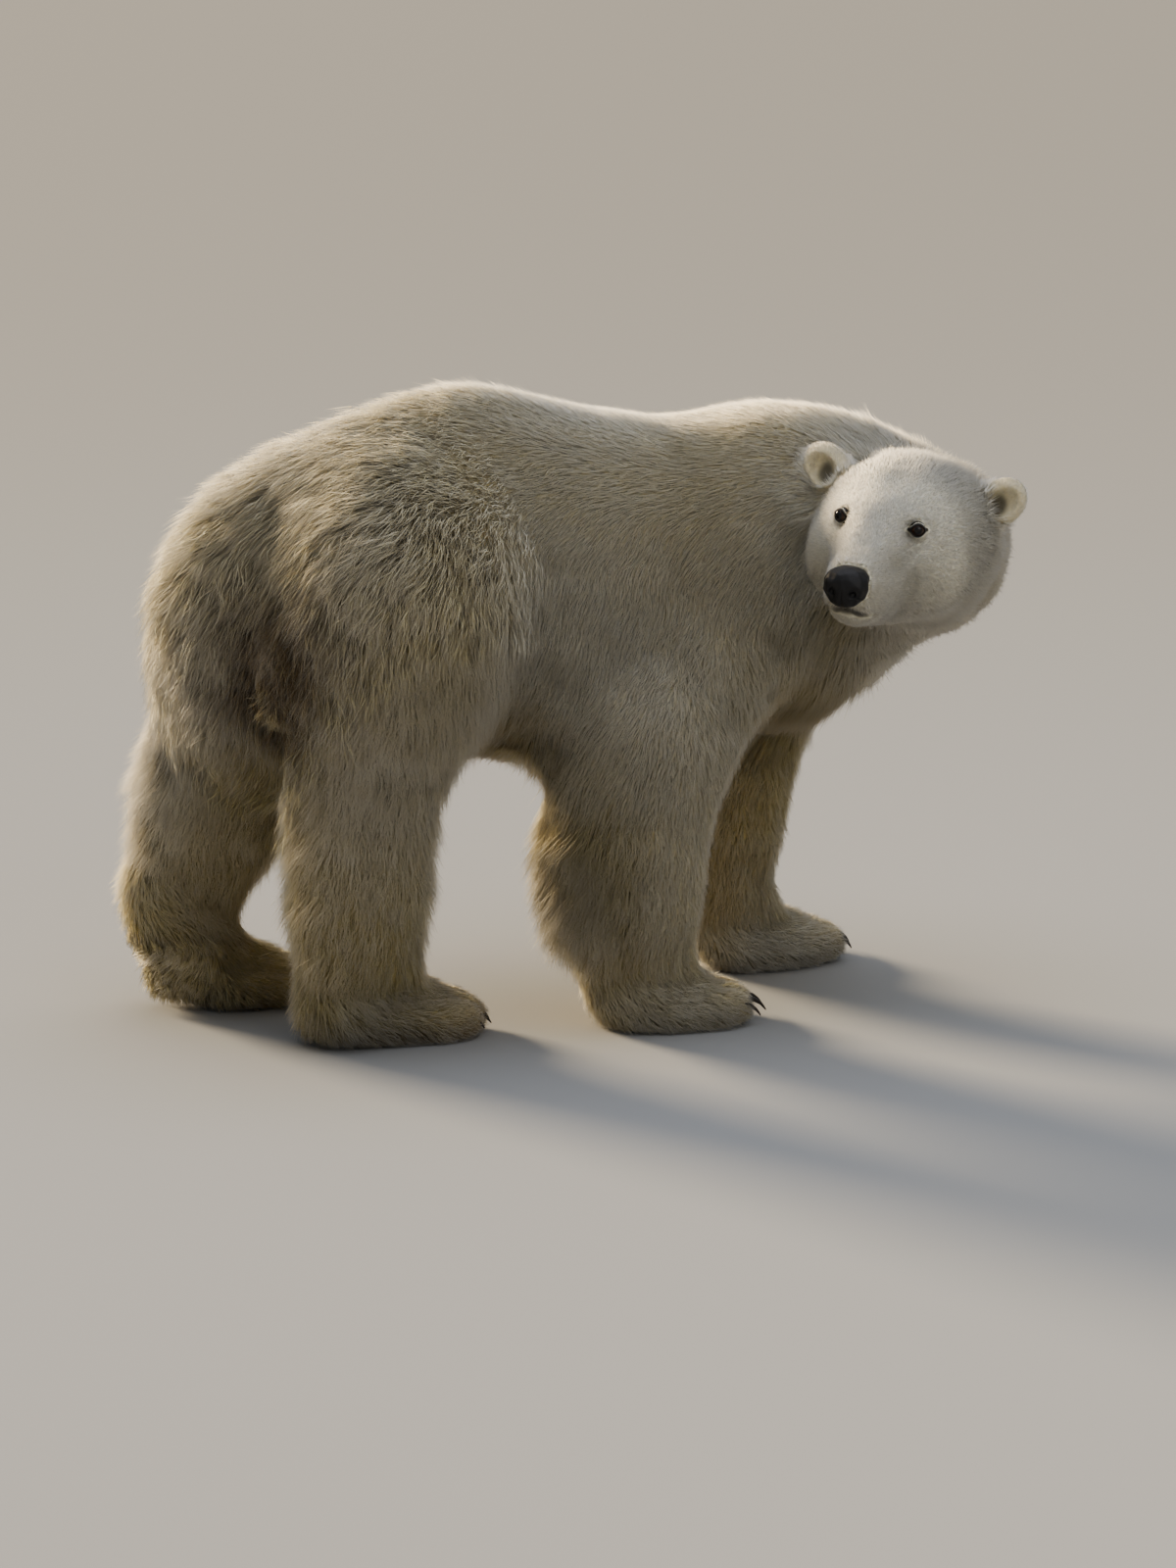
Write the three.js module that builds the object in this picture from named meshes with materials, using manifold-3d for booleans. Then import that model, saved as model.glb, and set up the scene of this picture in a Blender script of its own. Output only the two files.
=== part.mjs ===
// A polar bear, life size: it stands in mid-stride and looks back over its right shoulder.
// Units are millimetres, +Z is up, the floor is z = 0, the trunk faces -Y and its left side is +X.
// The shape is one smooth body, given by distance functions, out to the tips of the coat.
// It is meshed part by part and parted with thin straight cuts, so that the parts meet without overlap.

import * as THREE from "three";
import { mergeVertices } from "three/addons/utils/BufferGeometryUtils.js";
import Module from "manifold-3d";

const wasm = await Module();
wasm.setup();

// ---------------------------------------------------------------- driving sizes

const GAP = 0.3; // between two parts that touch
const FAR = 3000; // more than any part reaches

// The spine, seen from above, is an arc from the hips to the shoulders, bent to the right.
const HIPS = [85, 403];
const SPINE = 815;
const HIP_HEADING = -12; // degrees from -Y, positive to the bear's right
const SHOULDER_HEADING = 25;

// The middle between the eyes, and how the head is turned.
const EYES_MIDDLE = [-458, -298, 913];
const HEAD_HEADING = 142.5;
const HEAD_PITCH = 2.5; // nose up
const HEAD_ROLL = 7.5; // left side down

// Mesh cell of each region: fine where the form is fine, and upright where it is a column.
const CELL = { body: [66, 66, 92], paw: 37, head: 28, ear: 19, nose: 16, tail: 34 };

// ---------------------------------------------------------------- colours

const finish = (color, roughness) =>
  new THREE.MeshStandardMaterial({ color, roughness, metalness: 0 });
const COAT = finish(0xe9e2cb, 0.95);
const SKIN_BLACK = finish(0x1d1c1e, 0.45);
const EYE_DARK = finish(0x140f0c, 0.08);
const CLAW_HORN = finish(0x2a2420, 0.35);

// ---------------------------------------------------------------- frames

const radians = THREE.MathUtils.degToRad;
const point = (x, y, z) => new THREE.Vector3(x, y, z);

// A frame in which x is the animal's left, y its back and z up.
function frameAt(origin, heading, pitch = 0, roll = 0) {
  const turn = new THREE.Matrix4().makeRotationZ(-radians(heading));
  turn.multiply(new THREE.Matrix4().makeRotationX(-radians(pitch)));
  turn.multiply(new THREE.Matrix4().makeRotationY(radians(roll)));
  return turn.setPosition(...origin);
}

const place = (frame, x, y, z) => point(x, y, z).applyMatrix4(frame);

// The spine's frame at a distance forward of the hips, with its origin on the floor.
function spineAt(distance) {
  const steps = 24;
  const reach = THREE.MathUtils.clamp(distance, 0, SPINE);
  const headingAt = (s) => HIP_HEADING + (s / SPINE) * (SHOULDER_HEADING - HIP_HEADING);
  let [x, y] = HIPS;
  for (let i = 0; i < steps; i++) {
    const angle = radians(headingAt((reach * (i + 0.5)) / steps));
    x -= (Math.sin(angle) * reach) / steps;
    y -= (Math.cos(angle) * reach) / steps;
  }
  const heading = headingAt(reach);
  const rest = distance - reach;
  x -= Math.sin(radians(heading)) * rest;
  y -= Math.cos(radians(heading)) * rest;
  return frameAt([x, y, 0], heading);
}

const HIP_FRAME = spineAt(0);
const SHOULDER_FRAME = spineAt(SPINE);
const HEAD_FRAME = frameAt(EYES_MIDDLE, HEAD_HEADING, HEAD_PITCH, HEAD_ROLL);

// ---------------------------------------------------------------- distance functions

// An ellipsoid in a frame, turned about its own axes by degrees.
function blob(frame, centre, radii, turn = [0, 0, 0]) {
  const own = new THREE.Matrix4().makeRotationFromEuler(
    new THREE.Euler(...turn.map(radians), "XYZ"),
  );
  own.setPosition(...centre);
  const e = frame.clone().multiply(own).invert().elements;
  const [a, b, c] = radii;
  return (p) => {
    const x = (e[0] * p.x + e[4] * p.y + e[8] * p.z + e[12]) / a;
    const y = (e[1] * p.x + e[5] * p.y + e[9] * p.z + e[13]) / b;
    const z = (e[2] * p.x + e[6] * p.y + e[10] * p.z + e[14]) / c;
    const near = Math.hypot(x, y, z);
    const steep = Math.hypot(x / a, y / b, z / c);
    return near < 1e-9 ? -Math.min(a, b, c) : (near * (near - 1)) / steep;
  };
}

// A cone with a ball at each end, from a to b. flat under 1 squeezes it along the direction side.
function limb(a, startRadius, b, endRadius, flat = 1, side = point(1, 0, 0)) {
  const squeeze = 1 / flat - 1;
  const axis = b.clone().sub(a);
  axis.addScaledVector(side, axis.dot(side) * squeeze);
  const length2 = axis.lengthSq();
  const taper = startRadius - endRadius;
  const slope2 = length2 - taper * taper;
  return (p) => {
    let x = p.x - a.x;
    let y = p.y - a.y;
    let z = p.z - a.z;
    const s = (x * side.x + y * side.y + z * side.z) * squeeze;
    x += s * side.x;
    y += s * side.y;
    z += s * side.z;
    const along = x * axis.x + y * axis.y + z * axis.z;
    const beyond = along - length2;
    const off2 = Math.max(0, (x * x + y * y + z * z) * length2 - along * along) * length2;
    const along2 = along * along * length2;
    const beyond2 = beyond * beyond * length2;
    const k = Math.sign(taper) * taper * taper * off2;
    let d;
    if (Math.sign(beyond) * slope2 * beyond2 > k) {
      d = Math.sqrt(off2 + beyond2) / length2 - endRadius;
    } else if (Math.sign(along) * slope2 * along2 < k) {
      d = Math.sqrt(off2 + along2) / length2 - startRadius;
    } else {
      d = (Math.sqrt((off2 * slope2) / length2) + along * taper) / length2 - startRadius;
    }
    return d * Math.min(1, flat);
  };
}

// Joins fields with a fillet of about the size given.
function blend(size, ...fields) {
  return (p) => {
    let d = fields[0](p);
    for (let i = 1; i < fields.length; i++) {
      const next = fields[i](p);
      const h = Math.max(size - Math.abs(d - next), 0) / size;
      d = Math.min(d, next) - (h * h * size) / 4;
    }
    return d;
  };
}

// Presses one field into another, with a soft rim.
function press(size, field, tool) {
  return (p) => {
    const d = field(p);
    const cut = -tool(p);
    const h = Math.max(size - Math.abs(d - cut), 0) / size;
    return Math.max(d, cut) + (h * h * size) / 4;
  };
}

// ---------------------------------------------------------------- the body's form

// Trunk: hips, loin, belly, ribs and the deep chest between the shoulders.
function trunkForm() {
  const masses = [
    blob(spineAt(20), [0, 0, 795], [262, 245, 290]),
    blob(spineAt(210), [0, 0, 842], [230, 330, 292]),
    blob(spineAt(330), [0, 0, 710], [262, 330, 250]),
    blob(spineAt(480), [0, 0, 765], [265, 360, 300]),
    blob(spineAt(770), [0, 0, 775], [212, 280, 262]),
    blob(spineAt(860), [0, 0, 650], [150, 190, 165]),
    blob(spineAt(880), [0, 0, 890], [105, 240, 162]),
  ];
  const buttocks = [
    blob(HIP_FRAME, [140, 88, 722], [168, 250, 278], [0, 0, -6]),
    blob(HIP_FRAME, [-132, 46, 760], [165, 225, 275], [0, 0, 6]),
  ];
  const shoulderBlades = [1, -1].map((side) =>
    blob(SHOULDER_FRAME, [side * 128, 40, 830], [88, 160, 205], [18, side * -14, 0]),
  );
  return blend(90, ...masses, ...buttocks, ...shoulderBlades);
}

// Neck: a bow that leaves the shoulders forwards and comes back to the head.
function neckForm() {
  const start = place(SHOULDER_FRAME, 0, 60, 815);
  const ahead = place(SHOULDER_FRAME, 20, -300, 775);
  const behindHead = place(HEAD_FRAME, 20, 400, -75);
  const end = place(HEAD_FRAME, 0, 150, -45);
  const bow = new THREE.CubicBezierCurve3(start, ahead, behindHead, end);
  const pieces = 6;
  const radiusAt = (t) => THREE.MathUtils.lerp(190, 145, Math.sqrt(t));
  const lengths = [];
  for (let i = 0; i < pieces; i++) {
    const t = [i / pieces, (i + 1) / pieces];
    lengths.push(limb(bow.getPoint(t[0]), radiusAt(t[0]), bow.getPoint(t[1]), radiusAt(t[1])));
  }
  return blend(40, ...lengths);
}

// Tail: a short flat flap that hangs on the middle of the rump.
function tailForm() {
  const root = place(HIP_FRAME, -38, 250, 745);
  const tip = place(HIP_FRAME, -46, 292, 640);
  return limb(root, 50, tip, 32, 0.6, point(0, 1, 0));
}

// Head without nose, eyes and ears, in the head's own frame.
function headForm() {
  const at = (x, y, z) => place(HEAD_FRAME, x, y, z);
  const skull = blob(HEAD_FRAME, [0, 120, -25], [132, 150, 105]);
  const brow = blob(HEAD_FRAME, [0, 34, -18], [84, 80, 58]);
  const muzzle = limb(at(0, 0, -60), 70, at(0, -100, -86), 50);
  const lips = limb(at(0, -40, -100), 60, at(0, -96, -114), 44);
  const jaw = limb(at(0, 70, -122), 68, at(0, -80, -128), 35);
  const cheeks = [1, -1].map((side) =>
    blob(HEAD_FRAME, [side * 76, 112, -80], [78, 112, 86], [0, 0, side * -10]),
  );
  const ruff = blob(HEAD_FRAME, [0, 190, -40], [178, 110, 150]);
  const face = blend(36, skull, brow, muzzle, lips, jaw, ...cheeks, ruff);
  const sockets = [1, -1].map((side) => blob(HEAD_FRAME, [side * 73, -16, -2], [24, 22, 17]));
  return sockets.reduce((field, socket) => press(12, field, socket), face);
}

function earForm(side) {
  const outer = blob(HEAD_FRAME, [side * 166, 196, 50], [44, 26, 47], [0, side * 48, side * -14]);
  const root = blob(HEAD_FRAME, [side * 126, 192, 24], [48, 30, 40]);
  const dish = blob(HEAD_FRAME, [side * 171, 165, 55], [28, 24, 31], [0, side * 48, side * -14]);
  return press(10, blend(30, outer, root), dish);
}

function noseForm() {
  const pad = blob(HEAD_FRAME, [0, -157, -88], [41, 24, 29]);
  const bridge = blob(HEAD_FRAME, [0, -138, -72], [33, 32, 20]);
  const nostrils = [1, -1].map((side) => blob(HEAD_FRAME, [side * 21, -183, -90], [9, 12, 8]));
  return nostrils.reduce((field, nostril) => press(6, field, nostril), blend(16, pad, bridge));
}

// A leg is three limbs: the last joint before the paw is its end.
function legForm(joints, flat, side) {
  const parts = [];
  for (let i = 0; i + 1 < joints.length; i++) {
    const [a, ra] = joints[i];
    const [b, rb] = joints[i + 1];
    parts.push(limb(point(...a), ra, point(...b), rb, flat, side));
  }
  return blend(70, ...parts);
}

const LEGS = {
  foreleg_right: {
    joints: [
      [[-118, -285, 730], 140],
      [[-150, -10, 500], 146],
      [[-148, 36, 340], 140],
      [[-148, 26, 225], 122],
      [[-146, 0, 120], 94],
    ],
    paw: { at: [-166, -46], heading: 13, hind: false, lift: 0 },
  },
  foreleg_left: {
    joints: [
      [[140, -445, 730], 134],
      [[130, -430, 500], 122],
      [[124, -385, 330], 104],
      [[122, -365, 225], 96],
      [[120, -375, 120], 80],
    ],
    paw: { at: [112, -458], heading: -4, hind: false, lift: 0 },
  },
  hindleg_right: {
    joints: [
      [[-50, 420, 790], 215],
      [[-58, 478, 600], 152],
      [[-30, 492, 400], 132],
      [[-4, 484, 250], 126],
      [[16, 476, 130], 112],
    ],
    paw: { at: [15, 392], heading: 12, hind: true, lift: 0 },
  },
  hindleg_left: {
    joints: [
      [[215, 450, 790], 210],
      [[275, 500, 600], 180],
      [[345, 562, 400], 144],
      [[396, 608, 215], 122],
    ],
    paw: { at: [390, 492], heading: 13, hind: true, lift: 35 },
  },
};

// ---------------------------------------------------------------- meshing

// Meshes the surface where a field is zero, inside a box. Each cell that the surface crosses
// has one vertex for each sheet of it, and each crossed grid edge has one quad around it.
function meshOf(field, box, sizes) {
  const cell = Array.isArray(sizes) ? point(...sizes) : point(sizes, sizes, sizes);
  const low = box.min.clone().sub(cell);
  const count = box.getSize(point(0, 0, 0)).divide(cell).ceil().addScalar(3);
  const [nx, ny, nz] = count.toArray();
  const steps = [1, nx, nx * ny];
  const values = new Float64Array(nx * ny * nz);
  const gridPoint = (n) =>
    point(n % nx, Math.floor(n / nx) % ny, Math.floor(n / (nx * ny))).multiply(cell).add(low);
  for (let n = 0; n < values.length; n++) {
    const i = n % nx;
    const j = Math.floor(n / nx) % ny;
    const k = Math.floor(n / (nx * ny));
    const onRim = i * j * k === 0 || i === nx - 1 || j === ny - 1 || k === nz - 1;
    const value = field(gridPoint(n));
    values[n] = onRim ? Math.max(cell.x, value) : value;
  }
  const crosses = (n, axis) => values[n] < 0 !== values[n + steps[axis]] < 0;
  const vertices = [];
  const sheets = new Map();
  for (let n = 0; n + steps[0] + steps[1] + steps[2] < values.length; n++) {
    for (const edges of sheetsOfCell(values, steps, n)) {
      const sum = point(0, 0, 0);
      for (const edge of edges) {
        const from = Math.floor(edge / 3);
        const to = from + steps[edge % 3];
        const share = values[from] / (values[from] - values[to]);
        sum.add(gridPoint(from).lerp(gridPoint(to), share));
        sheets.set(`${n}:${edge}`, vertices.length);
      }
      vertices.push(sum.divideScalar(edges.length));
    }
  }
  vertices.forEach((vertex) => settle(vertex, field, cell.x));
  const triangles = [];
  for (let n = 0; n < values.length; n++) {
    for (let axis = 0; axis < 3; axis++) {
      if (!crosses(n, axis)) continue;
      const u = steps[(axis + 1) % 3];
      const v = steps[(axis + 2) % 3];
      const ring = [n - u - v, n - v, n, n - u].map((c) => sheets.get(`${c}:${3 * n + axis}`));
      if (values[n] >= 0) ring.reverse();
      splitQuad(ring, vertices, triangles);
    }
  }
  return new THREE.BufferGeometry().setFromPoints(vertices).setIndex(triangles);
}

// The crossed edges of one cell, grouped by the sheet of surface that they belong to.
function sheetsOfCell(values, steps, cell) {
  const at = (corner) =>
    cell + steps.reduce((sum, step, axis) => sum + (corner & (1 << axis) ? step : 0), 0);
  const inside = (corner) => values[at(corner)] < 0;
  const first = inside(0);
  if ([1, 2, 3, 4, 5, 6, 7].every((corner) => inside(corner) === first)) return [];
  const sheetOf = new Map();
  const edgeBetween = (a, b) => 3 * at(Math.min(a, b)) + Math.log2(a ^ b);
  const join = (a, b) => {
    const [from, to] = [sheetOf.get(a) ?? a, sheetOf.get(b) ?? b];
    sheetOf.set(a, from);
    sheetOf.set(b, to);
    for (const [edge, sheet] of sheetOf) if (sheet === to) sheetOf.set(edge, from);
  };
  for (let axis = 0; axis < 3; axis++) {
    const u = 1 << (axis + 1) % 3;
    const v = 1 << (axis + 2) % 3;
    for (const base of [0, 1 << axis]) {
      const ring = [base, base | u, base | u | v, base | v];
      const crossed = ring
        .map((corner, i) => [corner, ring[(i + 1) % 4]])
        .filter(([a, b]) => inside(a) !== inside(b));
      if (crossed.length === 2) join(edgeBetween(...crossed[0]), edgeBetween(...crossed[1]));
      if (crossed.length < 4) continue;
      ring.forEach((corner, i) => {
        const before = edgeBetween(corner, ring[(i + 3) % 4]);
        const after = edgeBetween(corner, ring[(i + 1) % 4]);
        if (inside(corner)) join(before, after);
      });
    }
  }
  const groups = new Map();
  for (const [edge, sheet] of sheetOf) groups.set(sheet, [...(groups.get(sheet) ?? []), edge]);
  return [...groups.values()];
}

// Moves a vertex onto the surface along the field's slope, by less than half a cell in all.
function settle(vertex, field, cell) {
  const start = vertex.clone();
  const probe = 0.5;
  for (let round = 0; round < 4; round++) {
    const slope = point(
      field(vertex.clone().setX(vertex.x + probe)) - field(vertex.clone().setX(vertex.x - probe)),
      field(vertex.clone().setY(vertex.y + probe)) - field(vertex.clone().setY(vertex.y - probe)),
      field(vertex.clone().setZ(vertex.z + probe)) - field(vertex.clone().setZ(vertex.z - probe)),
    ).divideScalar(2 * probe);
    const steep = Math.max(slope.lengthSq(), 0.05);
    vertex.addScaledVector(slope, -field(vertex) / steep);
    const moved = vertex.clone().sub(start);
    if (moved.length() > 0.45 * cell) vertex.copy(start).add(moved.setLength(0.45 * cell));
  }
}

// Splits a quad along its shorter diagonal.
function splitQuad([a, b, c, d], vertices, triangles) {
  const straight = vertices[a].distanceTo(vertices[c]) <= vertices[b].distanceTo(vertices[d]);
  if (straight) triangles.push(a, b, c, a, c, d);
  else triangles.push(a, b, d, b, c, d);
}

// ---------------------------------------------------------------- solids

function solidOf(geometry) {
  geometry.deleteAttribute("normal");
  geometry.deleteAttribute("uv");
  const merged = mergeVertices(geometry, 1e-3);
  return new wasm.Manifold(
    new wasm.Mesh({
      numProp: 3,
      vertProperties: new Float32Array(merged.attributes.position.array),
      triVerts: new Uint32Array(merged.index.array),
    }),
  );
}

function geometryOf(solid) {
  const { vertProperties, triVerts } = solid.getMesh();
  const geometry = new THREE.BufferGeometry();
  geometry.setAttribute("position", new THREE.BufferAttribute(vertProperties, 3));
  return geometry.setIndex(new THREE.BufferAttribute(triVerts, 1));
}

// A box between two corners of a frame, grown by a margin on every side.
function slab(frame, low, high, margin = 0) {
  const size = high.map((h, i) => h - low[i] + 2 * margin);
  const middle = high.map((h, i) => (h + low[i]) / 2);
  const box = new THREE.BoxGeometry(...size).translate(...middle).applyMatrix4(frame);
  return solidOf(box);
}

// A copy that is larger by a fiftieth about a point inside it: it cuts the seat of a part.
function seatOf(geometry, centre) {
  const [x, y, z] = centre.toArray();
  return solidOf(geometry.clone().translate(-x, -y, -z).scale(1.02, 1.02, 1.02).translate(x, y, z));
}

function boundsOf(points, reach) {
  return new THREE.Box3().setFromPoints(points).expandByScalar(reach);
}

// ---------------------------------------------------------------- paws and claws

const FLOOR = slab(new THREE.Matrix4(), [-FAR, -FAR, -FAR], [FAR, FAR, 0]);

const PAW = {
  fore: { toeSpread: 37, toeReach: -128, palm: [96, 112, 58], heel: [0, 72, 52], heelRadius: 62 },
  hind: { toeSpread: 33, toeReach: -118, palm: [88, 125, 58], heel: [0, 125, 62], heelRadius: 68 },
};
const TOES = [-2, -1, 0, 1, 2];
const CLAW = { length: 50, radius: 7.5, curve: 65, rings: 3, sides: 5 };

const pawFrame = ({ at, heading }) => frameAt([at[0], at[1], 0], heading);
const toeSide = (sizes, toe) => toe * sizes.toeSpread;
const toeFront = (sizes, toe) => sizes.toeReach + 8 * toe * toe;

function pawForm(paw) {
  const frame = pawFrame(paw);
  const sizes = paw.hind ? PAW.hind : PAW.fore;
  const palm = blob(frame, [0, -25, 30], sizes.palm);
  const [heelX, heelY, heelZ] = sizes.heel;
  const lift = radians(paw.lift);
  const heel = place(frame, heelX, heelY * Math.cos(lift), heelZ + heelY * Math.sin(lift));
  const sole = limb(place(frame, 0, -20, 50), 60, heel, sizes.heelRadius, 1.15, point(1, 0, 0));
  const toes = TOES.map((toe) =>
    blob(frame, [toeSide(sizes, toe), toeFront(sizes, toe), 30], [23, 48, 37], [0, 0, -4 * toe]),
  );
  if (!paw.lift) return blend(26, blend(50, palm, sole), ...toes);
  // Long hair hangs under a lifted heel.
  const hair = limb(place(frame, 0, 60, 42), 36, place(frame, 0, 128, 64), 44, 1.1);
  return blend(26, blend(50, palm, sole), hair, ...toes);
}

// A horn along a bent line: rings that shrink to a small flat tip.
function hornOf(frame, root, turn) {
  const heading = new THREE.Matrix4().makeRotationZ(radians(turn));
  const own = frame.clone().multiply(heading.setPosition(...root));
  const line = (t) => {
    const angle = radians(CLAW.curve) * t;
    const radius = CLAW.length / radians(CLAW.curve);
    return [-radius * Math.sin(angle), radius * (Math.cos(angle) - 1)];
  };
  const vertices = [];
  for (let ring = 0; ring <= CLAW.rings; ring++) {
    const t = ring / CLAW.rings;
    const [y, z] = line(t);
    const lean = radians(CLAW.curve) * t;
    const size = CLAW.radius * (1 - 0.82 * t);
    for (let i = 0; i < CLAW.sides; i++) {
      const angle = (2 * Math.PI * i) / CLAW.sides;
      const across = size * Math.cos(angle) * 0.8;
      const over = size * Math.sin(angle);
      vertices.push(point(across, y - over * Math.sin(lean), z + over * Math.cos(lean)));
    }
  }
  const triangles = [];
  for (let ring = 0; ring < CLAW.rings; ring++) {
    for (let i = 0; i < CLAW.sides; i++) {
      const a = ring * CLAW.sides + i;
      const b = ring * CLAW.sides + ((i + 1) % CLAW.sides);
      triangles.push(a, b, a + CLAW.sides, b, b + CLAW.sides, a + CLAW.sides);
    }
  }
  const last = CLAW.rings * CLAW.sides;
  for (let i = 1; i + 1 < CLAW.sides; i++) {
    triangles.push(0, i + 1, i, last, last + i, last + i + 1);
  }
  const horn = new THREE.BufferGeometry().setFromPoints(vertices).setIndex(triangles);
  return horn.applyMatrix4(own);
}

// ---------------------------------------------------------------- the whole body as one field

const sideOf = (heading) => point(Math.cos(radians(heading)), -Math.sin(radians(heading)), 0);
const legFields = Object.fromEntries(
  Object.entries(LEGS).map(([name, leg]) => {
    const heading = name.startsWith("fore") ? SHOULDER_HEADING : HIP_HEADING;
    return [name, legForm(leg.joints, 0.85, sideOf(heading))];
  }),
);
const pawFields = Object.fromEntries(
  Object.entries(LEGS).map(([name, leg]) => [name, pawForm(leg.paw)]),
);
const limbs = Object.keys(LEGS).map((name) => blend(45, legFields[name], pawFields[name]));
const trunkAndNeck = blend(80, trunkForm(), neckForm());
const headless = blend(60, trunkAndNeck, ...limbs);
const flesh = blend(28, headless, headForm());

// ---------------------------------------------------------------- parting the body

const meshes = new THREE.Group();

function add(name, solid, material) {
  const mesh = new THREE.Mesh(geometryOf(solid), material);
  mesh.name = name;
  meshes.add(mesh);
}

// Head and neck: in front of the shoulders, and what reaches round to the right of them.
const NECK_CUT = -135;
const neckSide = (margin) =>
  slab(SHOULDER_FRAME, [-FAR, -FAR, 560], [FAR, NECK_CUT, FAR], margin).add(
    slab(SHOULDER_FRAME, [-FAR, -FAR, 728], [-278, 20, FAR], margin),
  );
const HEAD_CUT = 238;
const headSide = (margin) =>
  slab(HEAD_FRAME, [-FAR, -FAR, -FAR], [FAR, HEAD_CUT, FAR], margin).intersect(neckSide(margin));

// Legs: a straight cut under the belly and a sloping one along the armpit or groin.
const LEG_CUT = 405;
const HIND_PARTING = 105; // the hind legs part left of the middle, as the right one bears the weight
const BELLY_PARTING = 205; // between the right foreleg, drawn far back, and the right hind leg
function legSide(name, margin) {
  const fore = name.startsWith("fore");
  const side = name.endsWith("left") ? 1 : -1;
  const frame = fore ? SHOULDER_FRAME : HIP_FRAME;
  const parting = fore ? 0 : HIND_PARTING;
  const [lowX, highX] = side > 0 ? [parting, FAR] : [-FAR, parting];
  const [lowY, highY] = fore ? [-FAR, 620] : [-330, FAR];
  const under = slab(frame, [lowX, lowY, -FAR], [highX, highY, LEG_CUT], margin);
  const slope = frame.clone();
  const pivot = side > 0 ? parting + 30 : -30;
  slope.multiply(new THREE.Matrix4().makeTranslation(pivot, 0, LEG_CUT));
  slope.multiply(new THREE.Matrix4().makeRotationY(side * radians(fore ? -48 : -52)));
  const [upperLow, upperHigh] = side > 0 ? [0, FAR] : [-FAR, 0];
  const [backLow, backHigh] = fore ? [-105, 250] : [-210, FAR];
  const beside = slab(slope, [upperLow, backLow, -FAR], [upperHigh, backHigh, 0], margin);
  const [front, back] = fore ? [-FAR, BELLY_PARTING - GAP / 2] : [BELLY_PARTING + GAP / 2, FAR];
  const half = slab(new THREE.Matrix4(), [-FAR, front, -FAR], [FAR, back, FAR], margin);
  return under.add(beside).intersect(half);
}

function pawSide(paw, margin) {
  const top = paw.hind ? 118 : 108;
  if (!paw.lift) return slab(pawFrame(paw), [-200, -200, -FAR], [200, 300, top], margin);
  const tilted = pawFrame(paw).multiply(new THREE.Matrix4().makeRotationX(radians(paw.lift)));
  const front = slab(pawFrame(paw), [-200, -200, -FAR], [200, 0, top], margin);
  return front.add(slab(tilted, [-200, -50, -FAR], [200, 400, top], margin));
}

const bodyBox = new THREE.Box3(point(-650, -850, -60), point(650, 850, 1250));
const body = solidOf(meshOf(headless, bodyBox, CELL.body));
const names = Object.keys(LEGS);
let trunk = body.subtract(neckSide(GAP));
for (const name of names) trunk = trunk.subtract(legSide(name, GAP));

const tailMiddle = place(HIP_FRAME, -42, 268, 700);
const tail = meshOf(tailForm(), boundsOf([tailMiddle], 150), CELL.tail);
add("tail", solidOf(tail), COAT);
trunk = trunk.subtract(seatOf(tail, tailMiddle));

for (const name of names) {
  const leg = body.intersect(legSide(name, 0)).subtract(neckSide(GAP));
  add(name, leg.subtract(pawSide(LEGS[name].paw, GAP)).subtract(FLOOR), COAT);
}

for (const name of names) {
  const { paw } = LEGS[name];
  const frame = pawFrame(paw);
  const sizes = paw.hind ? PAW.hind : PAW.fore;
  const box = boundsOf([place(frame, 0, -180, 0), place(frame, 0, 200, 160)], 130);
  let solid = solidOf(meshOf(flesh, box, CELL.paw));
  solid = solid.intersect(pawSide(paw, 0)).intersect(legSide(name, 0)).subtract(FLOOR);
  const pawName = name.replace("leg", "paw");
  for (const toe of TOES) {
    const root = [toeSide(sizes, toe) * 1.04, toeFront(sizes, toe) - 34, 40];
    const horn = hornOf(frame, root, -5 * toe);
    const claw = solidOf(horn);
    solid = solid.subtract(claw);
    add(`claw_${pawName}_${toe + 3}`, claw, CLAW_HORN);
  }
  add(pawName, solid, COAT);
}

// Neck and head, then what sits in them. The right ear also lies against the shoulder.
let neck = body.intersect(neckSide(0)).subtract(headSide(GAP));
const headBox = boundsOf([place(HEAD_FRAME, 0, -120, -60), place(HEAD_FRAME, 0, 180, 0)], 260);
let head = solidOf(meshOf(flesh, headBox, CELL.head)).intersect(headSide(0));

const noseMiddle = place(HEAD_FRAME, 0, -150, -84);
const nose = meshOf(noseForm(), boundsOf([noseMiddle], 60), CELL.nose);
add("nose", solidOf(nose), SKIN_BLACK);
head = head.subtract(seatOf(nose, noseMiddle));

const EYE = { radius: 15, at: [67, 3, -2] };
for (const [name, side] of [["left", 1], ["right", -1]]) {
  const earMiddle = place(HEAD_FRAME, side * 135, 195, 30);
  const ear = meshOf(earForm(side), boundsOf([earMiddle], 100), CELL.ear);
  const seat = seatOf(ear, earMiddle);
  add(`ear_${name}`, solidOf(ear), COAT);
  head = head.subtract(seat);
  neck = neck.subtract(seat);
  trunk = trunk.subtract(seat);

  const [eyeX, eyeY, eyeZ] = EYE.at;
  const centre = place(HEAD_FRAME, side * eyeX, eyeY, eyeZ);
  const ball = (radius) => new THREE.IcosahedronGeometry(radius, 1).translate(...centre);
  add(`eye_${name}`, solidOf(ball(EYE.radius)), EYE_DARK);
  head = head.subtract(solidOf(ball(EYE.radius + GAP)));
}
add("trunk", trunk, COAT);
add("neck", neck, COAT);
add("head", head, COAT);

// The origin is the middle of the footprint box, on the floor.
const whole = new THREE.Box3().setFromObject(meshes);
const middle = whole.getCenter(point(0, 0, 0));
meshes.position.set(-middle.x, -middle.y, 0);

const polarBear = new THREE.Group();
polarBear.add(meshes);
export default polarBear;
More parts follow.
